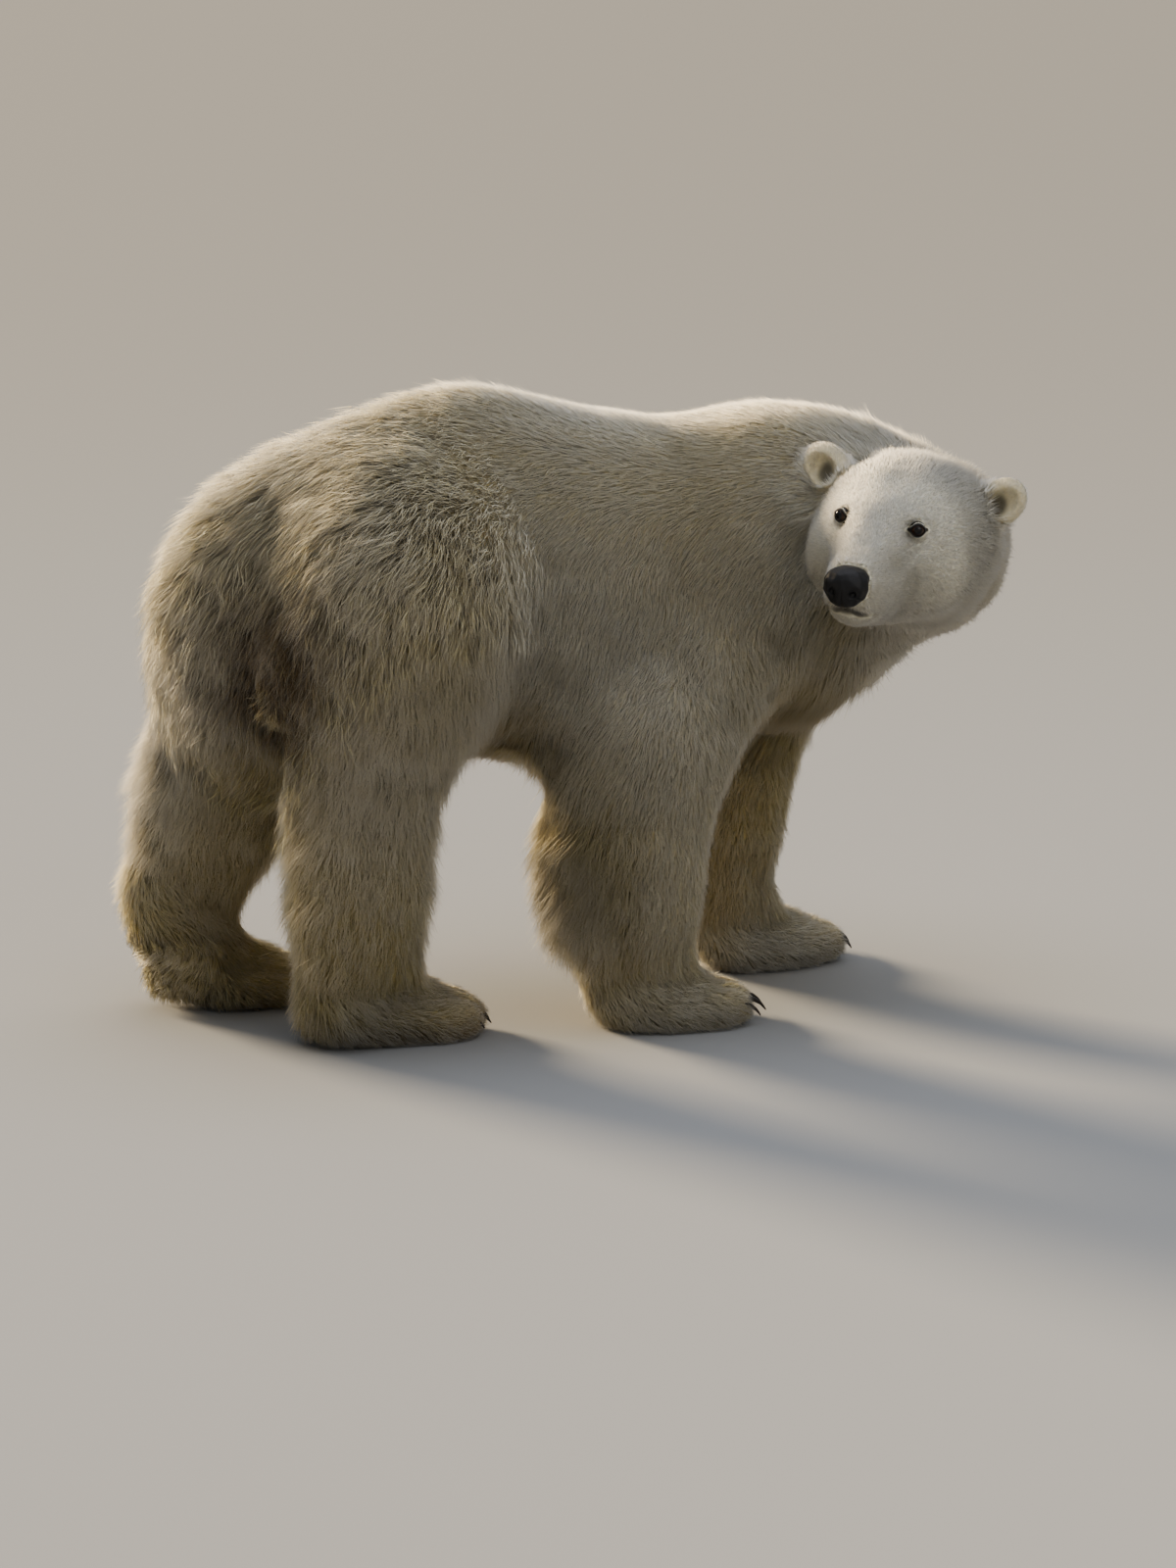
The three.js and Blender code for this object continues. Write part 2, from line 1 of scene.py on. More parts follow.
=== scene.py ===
# %% [markdown]
# # A polar bear that looks back over its shoulder
# The animal is built from the inside out, as a taxidermist works. First comes the outline that
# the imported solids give, then a skin that lies under the coat by the coat's depth, then eyes,
# nose and claws, and last the fur itself, as many small solid locks that stand on the skin.
# The outline is fixed: the tips of the coat end at it, and only a few loose hairs pass it.

# %% Load the fixed frame
import math

import bmesh
import bpy
import numpy as np
from mathutils import Matrix, Vector
from mathutils.bvhtree import BVHTree


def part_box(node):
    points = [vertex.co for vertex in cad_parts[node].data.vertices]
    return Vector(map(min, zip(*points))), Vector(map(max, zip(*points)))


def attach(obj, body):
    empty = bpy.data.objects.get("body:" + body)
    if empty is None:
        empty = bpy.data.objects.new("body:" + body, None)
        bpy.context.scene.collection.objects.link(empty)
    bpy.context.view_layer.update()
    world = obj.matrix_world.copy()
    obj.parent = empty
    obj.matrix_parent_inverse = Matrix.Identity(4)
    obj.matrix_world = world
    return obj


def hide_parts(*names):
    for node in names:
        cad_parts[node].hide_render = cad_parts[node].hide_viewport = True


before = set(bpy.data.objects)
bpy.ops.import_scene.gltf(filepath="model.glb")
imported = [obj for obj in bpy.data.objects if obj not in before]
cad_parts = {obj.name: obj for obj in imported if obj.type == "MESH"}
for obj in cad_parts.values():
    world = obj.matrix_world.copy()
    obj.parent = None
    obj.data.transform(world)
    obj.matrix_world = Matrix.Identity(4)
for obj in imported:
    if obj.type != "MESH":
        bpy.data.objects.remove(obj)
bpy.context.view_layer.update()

MM = 0.001

# %% [markdown]
# ## Three sets of axes
# Fur and flesh are easiest to describe in the animal's own directions. The spine is an arc
# that bends to the right, so a place on the body is told by how far it is along the spine and
# how far it is to the left of it. The head has axes of its own, which start between the eyes.

# %% The spine's arc, seen from above
HIPS = np.array([0.1257, 0.3929])
SPINE = 0.815
HEADINGS = np.radians([-12.0, 25.0])


def spine_points(reach):
    """Places along the spine, with the direction that the body faces at each."""
    places, facings = [], []
    for distance in reach:
        inside = np.clip(distance, 0.0, SPINE)
        steps = (np.arange(24) + 0.5) / 24 * inside
        angles = HEADINGS[0] + steps / SPINE * (HEADINGS[1] - HEADINGS[0])
        place = HIPS - np.array([np.sin(angles).mean(), np.cos(angles).mean()]) * inside
        last = HEADINGS[0] + inside / SPINE * (HEADINGS[1] - HEADINGS[0])
        facing = np.array([-math.sin(last), -math.cos(last)])
        places.append(place + facing * (distance - inside))
        facings.append(facing)
    return np.array(places), np.array(facings)


REACH = np.linspace(-0.40, 1.10, 76)
SPINE_PLACES, SPINE_FACINGS = spine_points(REACH)


def along_spine(points):
    """How far forward of the hips each point is, how far left of the spine, and the facing."""
    apart = points[:, None, :2] - SPINE_PLACES[None]
    nearest = (apart**2).sum(axis=2).argmin(axis=1)
    facing = SPINE_FACINGS[nearest]
    offset = points[:, :2] - SPINE_PLACES[nearest]
    left = -facing[:, 1] * offset[:, 0] + facing[:, 0] * offset[:, 1]
    return REACH[nearest], left, facing


# %% The head's axes: x to its left, y to its back, z to its crown
def middle_of(node):
    low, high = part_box(node)
    return (Vector(low) + Vector(high)) / 2


HEAD_TURN = (
    Matrix.Rotation(math.radians(-142.5), 3, "Z")
    @ Matrix.Rotation(math.radians(-2.5), 3, "X")
    @ Matrix.Rotation(math.radians(7.5), 3, "Y")
)
HEAD_AXES = np.array(HEAD_TURN)
EYES_FROM_START = np.array([0.0, 3.0, -2.0]) * MM
eyes_between = np.array((middle_of("eye_left") + middle_of("eye_right")) / 2)
HEAD_START = eyes_between - HEAD_AXES @ EYES_FROM_START


def in_head(points):
    """Places in the head's axes, in millimetres."""
    return (points - HEAD_START) @ HEAD_AXES / MM


def from_head(x, y, z):
    """A place given in millimetres in the head's axes."""
    return HEAD_START + HEAD_AXES @ (np.array([x, y, z]) * MM)


print("between the eyes:", np.round(HEAD_START, 3))

# %% Smooth steps, soft bumps and ridges, which shape and paint everything below


def ramp(value, low, high):
    """0 below low, 1 above high, and a smooth slope between."""
    t = np.clip((value - low) / (high - low), 0.0, 1.0)
    return t * t * (3 - 2 * t)


def spot(points, centre, radii):
    """1 at the centre, fading to nothing at about twice the radii."""
    return np.exp(-(((points - np.array(centre)) / np.array(radii)) ** 2).sum(axis=1))


def ridge(value, width):
    """1 where the value is 0, fading to nothing at about twice the width to either side."""
    return np.exp(-((value / width) ** 2))


WAVES = np.random.default_rng(11)


def waves(size, count=7):
    """Makes a soft random pattern between -1 and 1, whose patches are about as large as size."""
    turns = WAVES.normal(size=(count, 3))
    turns *= math.pi / size / np.linalg.norm(turns, axis=1)[:, None]
    starts = WAVES.uniform(0, 2 * math.pi, count)
    return lambda points: np.sin(points @ turns.T + starts).sum(axis=1) / (count * 0.55)


BROAD, PATCHY, LOCKED, FINE = waves(0.22), waves(0.05), waves(0.045), waves(0.014)


# %% [markdown]
# ## The outline
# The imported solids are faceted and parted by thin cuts. They could be shown as they are, but
# fur needs one unbroken surface to grow on. So copies of them are grown by a hair's breadth
# until they touch, wrapped in one voxel skin, and smoothed until the facets are gone.

# %% Join the flesh into one closed surface
LEGS = [f"{end}{part}_{side}" for end in ("fore", "hind") for part in ("leg", "paw")
        for side in ("left", "right")]
FLESH = ["trunk", "neck", "head", "ear_left", "ear_right", "tail"] + LEGS
FILLING = ["eye_left", "eye_right", "nose"]
CLAWS = sorted(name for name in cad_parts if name.startswith("claw_"))
OVERLAP = 1.2 * MM
VOXEL = 11.5 * MM


def merged_copy(node):
    """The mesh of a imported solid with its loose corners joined."""
    shape = bmesh.new()
    shape.from_mesh(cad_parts[node].data)
    bmesh.ops.remove_doubles(shape, verts=shape.verts, dist=0.01 * MM)
    return shape


def piece_from(shape, name):
    mesh = bpy.data.meshes.new(name)
    shape.to_mesh(mesh)
    shape.free()
    piece = bpy.data.objects.new(name, mesh)
    bpy.context.collection.objects.link(piece)
    return piece


def applied(piece):
    """The mesh of a piece as its modifiers leave it."""
    seen = piece.evaluated_get(bpy.context.evaluated_depsgraph_get())
    return bpy.data.meshes.new_from_object(seen)


joined = bmesh.new()
for name in FLESH + FILLING:
    part = merged_copy(name)
    for vertex in part.verts:
        vertex.co += vertex.normal * OVERLAP
    swollen = bpy.data.meshes.new(name + "_swollen")
    part.to_mesh(swollen)
    part.free()
    joined.from_mesh(swollen)
flesh = piece_from(joined, "bear_skin")
remesh = flesh.modifiers.new("one skin", "REMESH")
remesh.mode = "VOXEL"
remesh.voxel_size = VOXEL
wrapped = applied(flesh)
flesh.modifiers.clear()
print("wrapped in", len(wrapped.polygons), "faces")

# %% Keep only the outer shell
skin = bmesh.new()
skin.from_mesh(wrapped)


def shells(shape):
    """The separate closed surfaces of a mesh, each as a list of vertices."""
    unseen, found = set(shape.verts), []
    while unseen:
        front = [unseen.pop()]
        shell = list(front)
        while front:
            vertex = front.pop()
            for edge in vertex.link_edges:
                other = edge.other_vert(vertex)
                if other in unseen:
                    unseen.remove(other)
                    front.append(other)
                    shell.append(other)
        found.append(shell)
    return sorted(found, key=len)


for inner in shells(skin)[:-1]:
    bmesh.ops.delete(skin, geom=inner, context="VERTS")
print("one shell of", len(skin.verts), "vertices")

# %% Which part of the animal each point belongs to
PARTS = FLESH + FILLING
EARS = ["ear_left", "ear_right"]
HEAD_PARTS = ["head", "nose", "eye_left", "eye_right"]
PAWS = [name for name in LEGS if "paw" in name]
FORELEGS = [name for name in LEGS if name.startswith("foreleg")]
HINDLEGS = [name for name in LEGS if name.startswith("hindleg")]
corners, sides, owners = [], [], []
for index, name in enumerate(PARTS):
    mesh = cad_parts[name].data
    start = len(corners)
    corners += [tuple(vertex.co) for vertex in mesh.vertices]
    for polygon in mesh.polygons:
        sides.append([start + corner for corner in polygon.vertices])
        owners.append(index)
TREE = BVHTree.FromPolygons(corners, sides)
OWNERS = np.array(owners)


def part_of(points):
    """The index in PARTS of the solid nearest to each point."""
    return OWNERS[[TREE.find_nearest(Vector(point))[2] for point in points]]


def is_part(parts, *names):
    return np.isin(parts, [PARTS.index(name) for name in names])


# %% Smoothing that doesn't shrink
def unit(vectors):
    return vectors / np.maximum(np.linalg.norm(vectors, axis=1), 1e-9)[:, None]


def read(shape):
    """Positions and neighbour pairs of a mesh as arrays."""
    shape.verts.index_update()
    places = np.array([vertex.co for vertex in shape.verts])
    pairs = np.array([[v.index for v in edge.verts] for edge in shape.edges])
    return places, pairs


def normals_of(shape):
    shape.normal_update()
    return np.array([vertex.normal for vertex in shape.verts])


def put(shape, places):
    """Moves a mesh's vertices to new places, and gives its new normals."""
    for vertex, place in zip(shape.verts, places):
        vertex.co = place
    return normals_of(shape)


def neighbour_mean(values, pairs):
    """The average of each vertex's neighbours."""
    both = np.concatenate([pairs, pairs[:, ::-1]])
    count = np.bincount(both[:, 0], minlength=len(values))[:, None]
    columns = [
        np.bincount(both[:, 0], weights=values[both[:, 1], i], minlength=len(values))
        for i in range(values.shape[1])
    ]
    return np.stack(columns, axis=1) / np.maximum(count, 1)


def softened(values, pairs, times):
    """One number per vertex, averaged with its neighbours over and over."""
    for _ in range(times):
        values = neighbour_mean(values[:, None], pairs)[:, 0]
    return values


def relaxed(places, pairs, rounds):
    """Smooths each vertex for its own number of rounds, in and out in turn."""
    for step in range(int(rounds.max())):
        active = (step < rounds)[:, None]
        for pull in (0.52, -0.54):
            places = places + active * pull * (neighbour_mean(places, pairs) - places)
    return places


places, pairs = read(skin)
parts = part_of(places)
rounds = np.full(len(places), 46.0)
rounds[is_part(parts, *HEAD_PARTS)] = 7
rounds[is_part(parts, *EARS)] = 3
rounds[is_part(parts, *PAWS)] = 5
places = relaxed(places, pairs, np.round(softened(rounds, pairs, 6)))
TAIL_PLACE = np.array(middle_of("tail"))
near_tail = spot(places, TAIL_PLACE, (0.10, 0.10, 0.13))[:, None]
for _ in range(24):
    places = places + 0.6 * near_tail * (neighbour_mean(places, pairs) - places)
put(skin, places)
print("smoothed", len(places), "points")

# %% [markdown]
# ## The face
# The face is where the eye goes first, so it gets a finer net: the faces near the head are cut
# in four, those of the muzzle again, and those round the eyes once more. Then the brow, cheeks,
# lips and lids are pushed into it with soft bumps, as thumbs push clay.

# %% A finer net on the head, the muzzle and the lids
EYE_RAISED = HEAD_AXES @ np.array([0.0, 0.0, 6.0]) * MM
EYES = {side: np.array(middle_of(f"eye_{side}")) + EYE_RAISED for side in ("left", "right")}


def refine(shape, wanted):
    """Cuts in four all faces whose middle is wanted."""
    faces = [face for face in shape.faces if wanted(np.array(face.calc_center_median()))]
    edges = {edge for face in faces for edge in face.edges}
    bmesh.ops.subdivide_edges(shape, edges=list(edges), cuts=1, use_grid_fill=True)
    crowded = [face for face in shape.faces if len(face.verts) > 4]
    bmesh.ops.triangulate(shape, faces=crowded)


def near_eyes(place, reach):
    return min(np.linalg.norm(place - eye) for eye in EYES.values()) < reach


def near_face(place):
    x, y, z = in_head(place[None])[0]
    return abs(x) < 90 and -240 < y < 20 and -190 < z < 50


def near_head(place):
    x, y, z = in_head(place[None])[0]
    return abs(x) < 240 and -240 < y < 270 and -230 < z < 150


def toe_lines(paw):
    """A paw's middle, its directions across and ahead, and its claws' places along them."""
    claws = np.array([middle_of(f"claw_{paw}_{i}") for i in range(1, 6)])
    middle = np.array(middle_of(paw))
    across = unit((claws[-1] - claws[0])[None] * [1, 1, 0])[0]
    ahead = np.array([-across[1], across[0], 0.0])
    ahead *= np.sign((claws.mean(axis=0) - middle) @ ahead)
    apart = claws - middle
    return middle, across, ahead, np.sort(apart @ across), (apart @ ahead).max()


TOES = {paw: toe_lines(paw) for paw in PAWS}


def near_toes(place):
    for middle, across, ahead, _, tip in TOES.values():
        apart = place - middle
        if np.linalg.norm(apart) < 0.26 and apart @ ahead > tip - 0.14 and place[2] < 0.17:
            return True
    return False


def near_ears(place):
    x, y, z = in_head(place[None])[0]
    return math.dist((abs(x), y, z), (162, 190, 48)) < 66


refine(skin, near_toes)
refine(skin, near_head)
refine(skin, near_ears)
refine(skin, near_face)
refine(skin, lambda place: near_eyes(place, 30 * MM))
places, pairs = read(skin)
parts = part_of(places)
local = in_head(places)
facial = ramp(-np.linalg.norm(local - [0, 20, -40], axis=1), -330, -200)
facial = np.where(facial > 0.3, 3.0, 0.0)
facial[is_part(parts, *EARS)] = 8
places = relaxed(places, pairs, facial)
normals = put(skin, places)
print("the finer net has", len(skin.faces), "faces")

# %% [markdown]
# ## Ears
# A polar bear's ears are short, round and thick at the root, with a hollow in front. They could
# be separate shells, but then a seam would show at the root. So a formula gives the distance
# to the wanted ear, and the skin's own points walk onto it in a few small steps.

# %% Ears: a round shell on a thick root, with a dish pressed in
def shell(points, centre, radii, lean=0.0):
    """Distance to an ellipsoid on the left side, turned out to the side and tipped."""
    turn = Matrix.Rotation(math.radians(48 * lean), 3, "Y") @ Matrix.Rotation(
        math.radians(-14 * lean), 3, "Z")
    own = (points - centre) @ np.array(turn)
    near = np.linalg.norm(own / radii, axis=1)
    return near * (near - 1) / np.linalg.norm(own / np.square(radii), axis=1)


def soft_low(a, b, width):
    """The lower of two distances, with a fillet where they are alike."""
    shared = np.maximum(width - np.abs(a - b), 0) / width
    return np.minimum(a, b) - shared**2 * width / 4


def ear_distance(points):
    outer = shell(points, (164, 195, 50), (42, 26, 47), 1.0)
    root = shell(points, (126, 192, 24), (48, 30, 40))
    dish = shell(points, (168, 160, 53), (28, 27, 33), 1.0)
    return -soft_low(-soft_low(outer, root, 30), dish, 8)


def shaped_ears(places):
    soft = softened(is_part(parts, *EARS).astype(float), pairs, 3)
    near = soft > 0.05
    local = in_head(places[near])
    side = np.where(local[:, :1] > 0, 1.0, -1.0) * [1, 0, 0] + [0, 1, 1]
    local = local * side
    for _ in range(5):
        value = ear_distance(local)
        slope = np.stack([ear_distance(local + step) - value for step in np.eye(3)], axis=1)
        local = local - 0.7 * (soft[near] * value)[:, None] * unit(slope)
    places = places.copy()
    places[near] = HEAD_START + (local * side * MM) @ HEAD_AXES.T
    return places


places = relaxed(shaped_ears(places), pairs, np.where(facial > 5, 3.0, 0.0))
normals = put(skin, places)
print("ears shaped")

# %% Brow, cheeks, lips and the neck's folds as soft bumps, in millimetres
FACE_BUMPS = [
    # (centre, radii, height), on the left side; the right side is its mirror image
    ((50, 10, 24), (26, 22, 12), 4.5),  # brow over the eye
    ((74, -26, -32), (20, 24, 18), -5.0),  # hollow under the eye
    ((58, -62, -56), (16, 34, 20), -6.0),  # flank of the muzzle, behind the lips
    ((30, -50, -22), (9, 44, 14), 3.0),  # edge of the bridge
    ((22, -105, -58), (8, 32, 12), 2.5),  # edge of the bridge, near the nose
    ((0, -80, -40), (12, 44, 20), -2.0),  # flat of the bridge
    ((0, -12, 10), (22, 32, 18), -3.5),  # dip between the eyes
    ((30, -126, -118), (20, 26, 16), 4.0),  # upper lip
    ((0, -116, -150), (26, 22, 10), 2.0),  # chin
    ((98, 60, -66), (34, 34, 26), 4.0),  # cheekbone
    ((0, 80, 80), (22, 70, 30), -4.0),  # furrow of the crown
    ((54, 90, 74), (30, 50, 26), 3.0),  # muscle of the brow
]


def mirrored(points):
    return points * [-1, 1, 1]


def mouth_line(points):
    """Height of the mouth's line: low under the lips' folds, rising to the corners."""
    aside = np.abs(points[:, 0])
    return -134 - 6 * ramp(aside, 5, 26) + 12 * ramp(points[:, 1], -70, -10)


local = in_head(places)
height = np.zeros(len(places))
for centre, radii, rise in FACE_BUMPS:
    height += rise * spot(local, centre, radii)
    if centre[0]:
        height += rise * spot(mirrored(local), centre, radii)
mouth = ridge(local[:, 2] - mouth_line(local), 3.0)
mouth *= ramp(local[:, 1], -190, -170) * (1 - ramp(local[:, 1], -110, -60))
furrow = ridge(local[:, 0], 2.2) * ramp(-local[:, 1], 105, 125)
furrow *= ramp(local[:, 2], -140, -132) * (1 - ramp(local[:, 2], -112, -104))
height -= 3.0 * mouth + 2.5 * furrow
creased = ramp(local[:, 1], 215, 260) * (1 - ramp(local[:, 1], 400, 460))
creased *= (1 - ramp(np.abs(local[:, 0]), 60, 150)) * ramp(local[:, 2], -20, 40)
creased *= is_part(parts, "neck", "head", "trunk")
height += 1.6 * creased * np.sin(local[:, 1] * 2 * math.pi / 46 + local[:, 0] / 60)
places = places + normals * (height * MM)[:, None]

# %% [markdown]
# ## Lids and toes
# The lids lie close on the eyeball and open in a small almond, with a fold above. The toes are
# short and part only a little under their fur. Both are pressed into the same skin: the lids
# along the way each eye looks, the toes as furrows and knuckles in line with the claws.

# %% Lids: the skin hugs the eyeball and opens in an almond
EYE_RADIUS = 14.5
LID = 1.8
OPENING = (11.4, 8.0)  # half width and half height, in millimetres


def gaze(side):
    """The eye's own axes in the head: to its outer corner, forwards, and up."""
    outward = 1 if side == "left" else -1
    forward = Vector((0.40 * outward, -0.91, -0.03)).normalized()
    corner = Vector((outward, 0.44, 0.10))
    corner = (corner - forward * corner.dot(forward)).normalized()
    return np.array([corner, forward, corner.cross(forward) * -outward])


def eye_plane(points, side):
    """Places seen along the gaze: across, ahead, above, and the almond's measure, 1 at its rim."""
    across, ahead, above = ((points - EYES[side]) @ HEAD_AXES / MM @ gaze(side).T).T
    narrow = 1 - 0.30 * np.clip(np.abs(across) / OPENING[0], 0, 1.3) ** 2
    almond = (across / OPENING[0]) ** 2 + (above / (OPENING[1] * narrow)) ** 2
    return across, ahead, above, np.where(ahead > -6, almond, 99.0)


lids = np.full(len(places), 99.0)
for side in EYES:
    across, ahead, above, almond = eye_plane(places, side)
    aside = np.hypot(across, above)
    ball = np.sqrt(np.maximum(EYE_RADIUS**2 - aside**2, 0))
    cover = np.sqrt(np.maximum((EYE_RADIUS + LID) ** 2 - aside**2, 9.0))
    opened = 1 - ramp(almond, 0.75, 1.25)
    wanted = cover * (1 - opened) + (ball - 3.0) * opened
    fold = ridge(almond - 4.2, 0.9) * (above > 0)
    near = (ahead > -6) & (aside < 40)
    blend = (1 - ramp(aside, 14.5, 26.0)) * near
    move = (wanted - ahead) * blend - 1.2 * fold * near
    places = places + np.outer(move * MM, HEAD_AXES @ gaze(side)[1])
    lids = np.where(near, np.minimum(lids, almond), lids)

# %% Toes: a furrow between each two claws, and a knuckle behind each
for paw, (middle, across, ahead, toes, tip) in TOES.items():
    apart = places - middle
    sideways, forwards = apart @ across, apart @ ahead
    here = is_part(parts, paw) * (np.abs(sideways) < 0.16)
    here = here * ramp(forwards, tip - 0.125, tip - 0.065)
    outer = ramp(normals @ ahead + 0.8 * normals[:, 2], 0.05, 0.5)
    gaps = (toes[1:] + toes[:-1]) / 2
    furrows = sum(ridge(sideways - gap, 0.0065) for gap in gaps)
    knuckles = sum(ridge(sideways - toe, 0.013) for toe in toes)
    knuckles *= ridge(forwards - tip + 0.062, 0.030)
    places = places + normals * ((5.0 * knuckles - 9.0 * furrows) * here * outer * MM)[:, None]

normals = put(skin, places)
OUTLINE = places.copy()
print("lids round both eyes;", int((lids < 1).sum()), "points inside them")

# %% [markdown]
# ## How deep the coat is
# A polar bear's coat is short on the face, the feet and the fronts of the forelegs, and long
# on the rump, the belly and the backs of the legs. The skin lies under the outline by that
# depth, so that the tips of the hair come out where the outline was.

# %% Depth of the coat at every point, in millimetres
reach, left, facing = along_spine(OUTLINE)
tall = OUTLINE[:, 2]
backward = -(normals[:, :2] * facing).sum(axis=1)  # 1 where the surface looks to the tail
downward = -normals[:, 2]

depth = np.full(len(OUTLINE), 18.0)
depth += 12 * ramp(-reach, -0.20, 0.05)  # rump
depth += 16 * ramp(downward, 0.2, 0.9) * ramp(reach, 0.05, 0.25)  # belly
depth -= 5 * ramp(tall, 0.95, 1.05) * ramp(reach, 0.3, 0.5)  # withers
fore = is_part(parts, *FORELEGS)
depth = np.where(fore, 11 + 7 * ramp(tall, 0.35, 0.65)
                 + 24 * ramp(backward, -0.1, 0.8) * ramp(tall, 0.10, 0.22), depth)
hind = is_part(parts, *HINDLEGS)
depth = np.where(hind, 20 + 10 * ramp(tall, 0.3, 0.6) + 6 * ramp(backward, 0.2, 0.9), depth)
depth[is_part(parts, *PAWS)] = 12.0
for paw, (middle, across, ahead, toes, tip) in TOES.items():
    toed = ramp((OUTLINE - middle) @ ahead, tip - 0.16, tip - 0.06)
    depth = np.where(is_part(parts, paw), 12 - 7 * toed, depth)
lifted = is_part(parts, "hindpaw_left") * ramp(downward + 0.6 * backward, 0.1, 0.7)
lifted = lifted * ramp(tall, 0.01, 0.05) * ramp(-tall, -0.18, -0.12)
depth = depth + 4 * lifted
depth[is_part(parts, "tail")] = 15.0
depth[is_part(parts, "neck")] = 17.0
depth[is_part(parts, *EARS)] = 3.5
head_local = in_head(OUTLINE)
throat = ramp(-head_local[:, 2], 90, 170) * (head_local[:, 1] > -60)
ruff = ramp(head_local[:, 1], 30, 200) + 0.5 * throat
depth = np.where(is_part(parts, *HEAD_PARTS), 4.2 + 11.0 * ruff, depth)
face_front = is_part(parts, *HEAD_PARTS) & (head_local[:, 1] < 0)
depth = softened(depth, pairs, 13)
for _ in range(27):
    depth = np.where(face_front, depth, softened(depth, pairs, 1))
depth = np.where(lids < 3.4, 0.4, depth)
depth = np.where(is_part(parts, "nose"), 12.0, depth)
on_floor = OUTLINE[:, 2] < 6 * MM
depth = np.where(on_floor, np.minimum(depth, 4.0), depth)
SKIN = OUTLINE - normals * (depth * MM)[:, None]
put(skin, SKIN)
bmesh.ops.recalc_face_normals(skin, faces=skin.faces)
skin_normals = normals_of(skin)
print("the coat is", depth.min().round(1), "to", depth.max().round(1), "mm deep")

# %% [markdown]
# ## Which way the hair lies
# Hair runs from the nose over the head and along the back to the tail, slopes down the flanks,
# hangs on the rump and belly, and runs down the legs and forward over the toes. Each part gets
# its own rule, and the rules are then blended by averaging each point with its neighbours.

# %% Flow of the coat at every point
DOWN = np.array([0.0, 0.0, -1.0])
tailward = np.concatenate([-facing, np.zeros((len(facing), 1))], axis=1)
low_down = ramp(-tall, -1.05, -0.70)[:, None]
on_rump = ramp(-reach, -0.12, 0.10)[:, None]
high_up = ramp(tall, 0.75, 1.0)[:, None]
flow = tailward * (0.62 + 0.2 * high_up)
flow = flow + DOWN * (0.45 + 0.75 * low_down + 0.25 * on_rump - 0.3 * high_up)
from_tail = OUTLINE - TAIL_PLACE
fanned = spot(from_tail, (0, 0, 0), (0.16, 0.18, 0.11))[:, None]
leftward = np.stack([-facing[:, 1], facing[:, 0], np.zeros(len(facing))], axis=1)
parting = np.tanh((from_tail * leftward).sum(axis=1) / 0.06)[:, None]
flow = flow + fanned * (0.5 * parting * leftward + 0.2 * DOWN)

NECK_BOW = [
    from_head(0, 150, -45), from_head(10, 300, -70), np.array([-0.122, -0.640, 0.835]),
    np.array([0.003, -0.520, 0.850]), np.append(SPINE_PLACES[61], 0.9),
]
bow = np.array([
    NECK_BOW[i] * (1 - t) + NECK_BOW[i + 1] * t for i in range(4) for t in np.linspace(0, 1, 9)[:-1]
])
bow_flow = unit(np.gradient(bow, axis=0))


def neck_flow(points):
    nearest = ((points[:, None] - bow[None]) ** 2).sum(axis=2).argmin(axis=1)
    return bow_flow[nearest] + DOWN * 0.25


necky = is_part(parts, "neck")
flow[necky] = neck_flow(OUTLINE[necky])

heady = is_part(parts, *HEAD_PARTS)
x, y, z = head_local.T
spread = np.stack([0.30 * np.sign(x) * ramp(np.abs(x), 8, 60), np.ones(len(x)),
                   -0.30 * ramp(np.abs(x), 60, 140) + 0.1 * ramp(z, -40, 40)], axis=1)
flow[heady] = (spread @ HEAD_AXES.T)[heady]

for side, outward in (("left", 1), ("right", -1)):
    eary = is_part(parts, f"ear_{side}")
    root = from_head(outward * 128, 196, 10)
    flow[eary] = OUTLINE[eary] - root

legy = is_part(parts, *FORELEGS, *HINDLEGS)
flow[legy] = (DOWN + tailward * 0.30)[legy]
for paw, (_, _, ahead, _, _) in TOES.items():
    flow[is_part(parts, paw)] = ahead + DOWN * 0.5
flow = np.where((lifted > 0.4)[:, None], tailward + DOWN * 0.8, flow)
flow[is_part(parts, "tail")] = (DOWN + tailward * 0.4)[is_part(parts, "tail")]

flow = unit(flow)
held = (is_part(parts, "nose", *EARS) | (lids < 4))[:, None]
for _ in range(22):
    flow = np.where(held, flow, neighbour_mean(flow, pairs))
flow -= skin_normals * (flow * skin_normals).sum(axis=1)[:, None]
flow = unit(flow)
print("flow laid on", len(flow), "points")
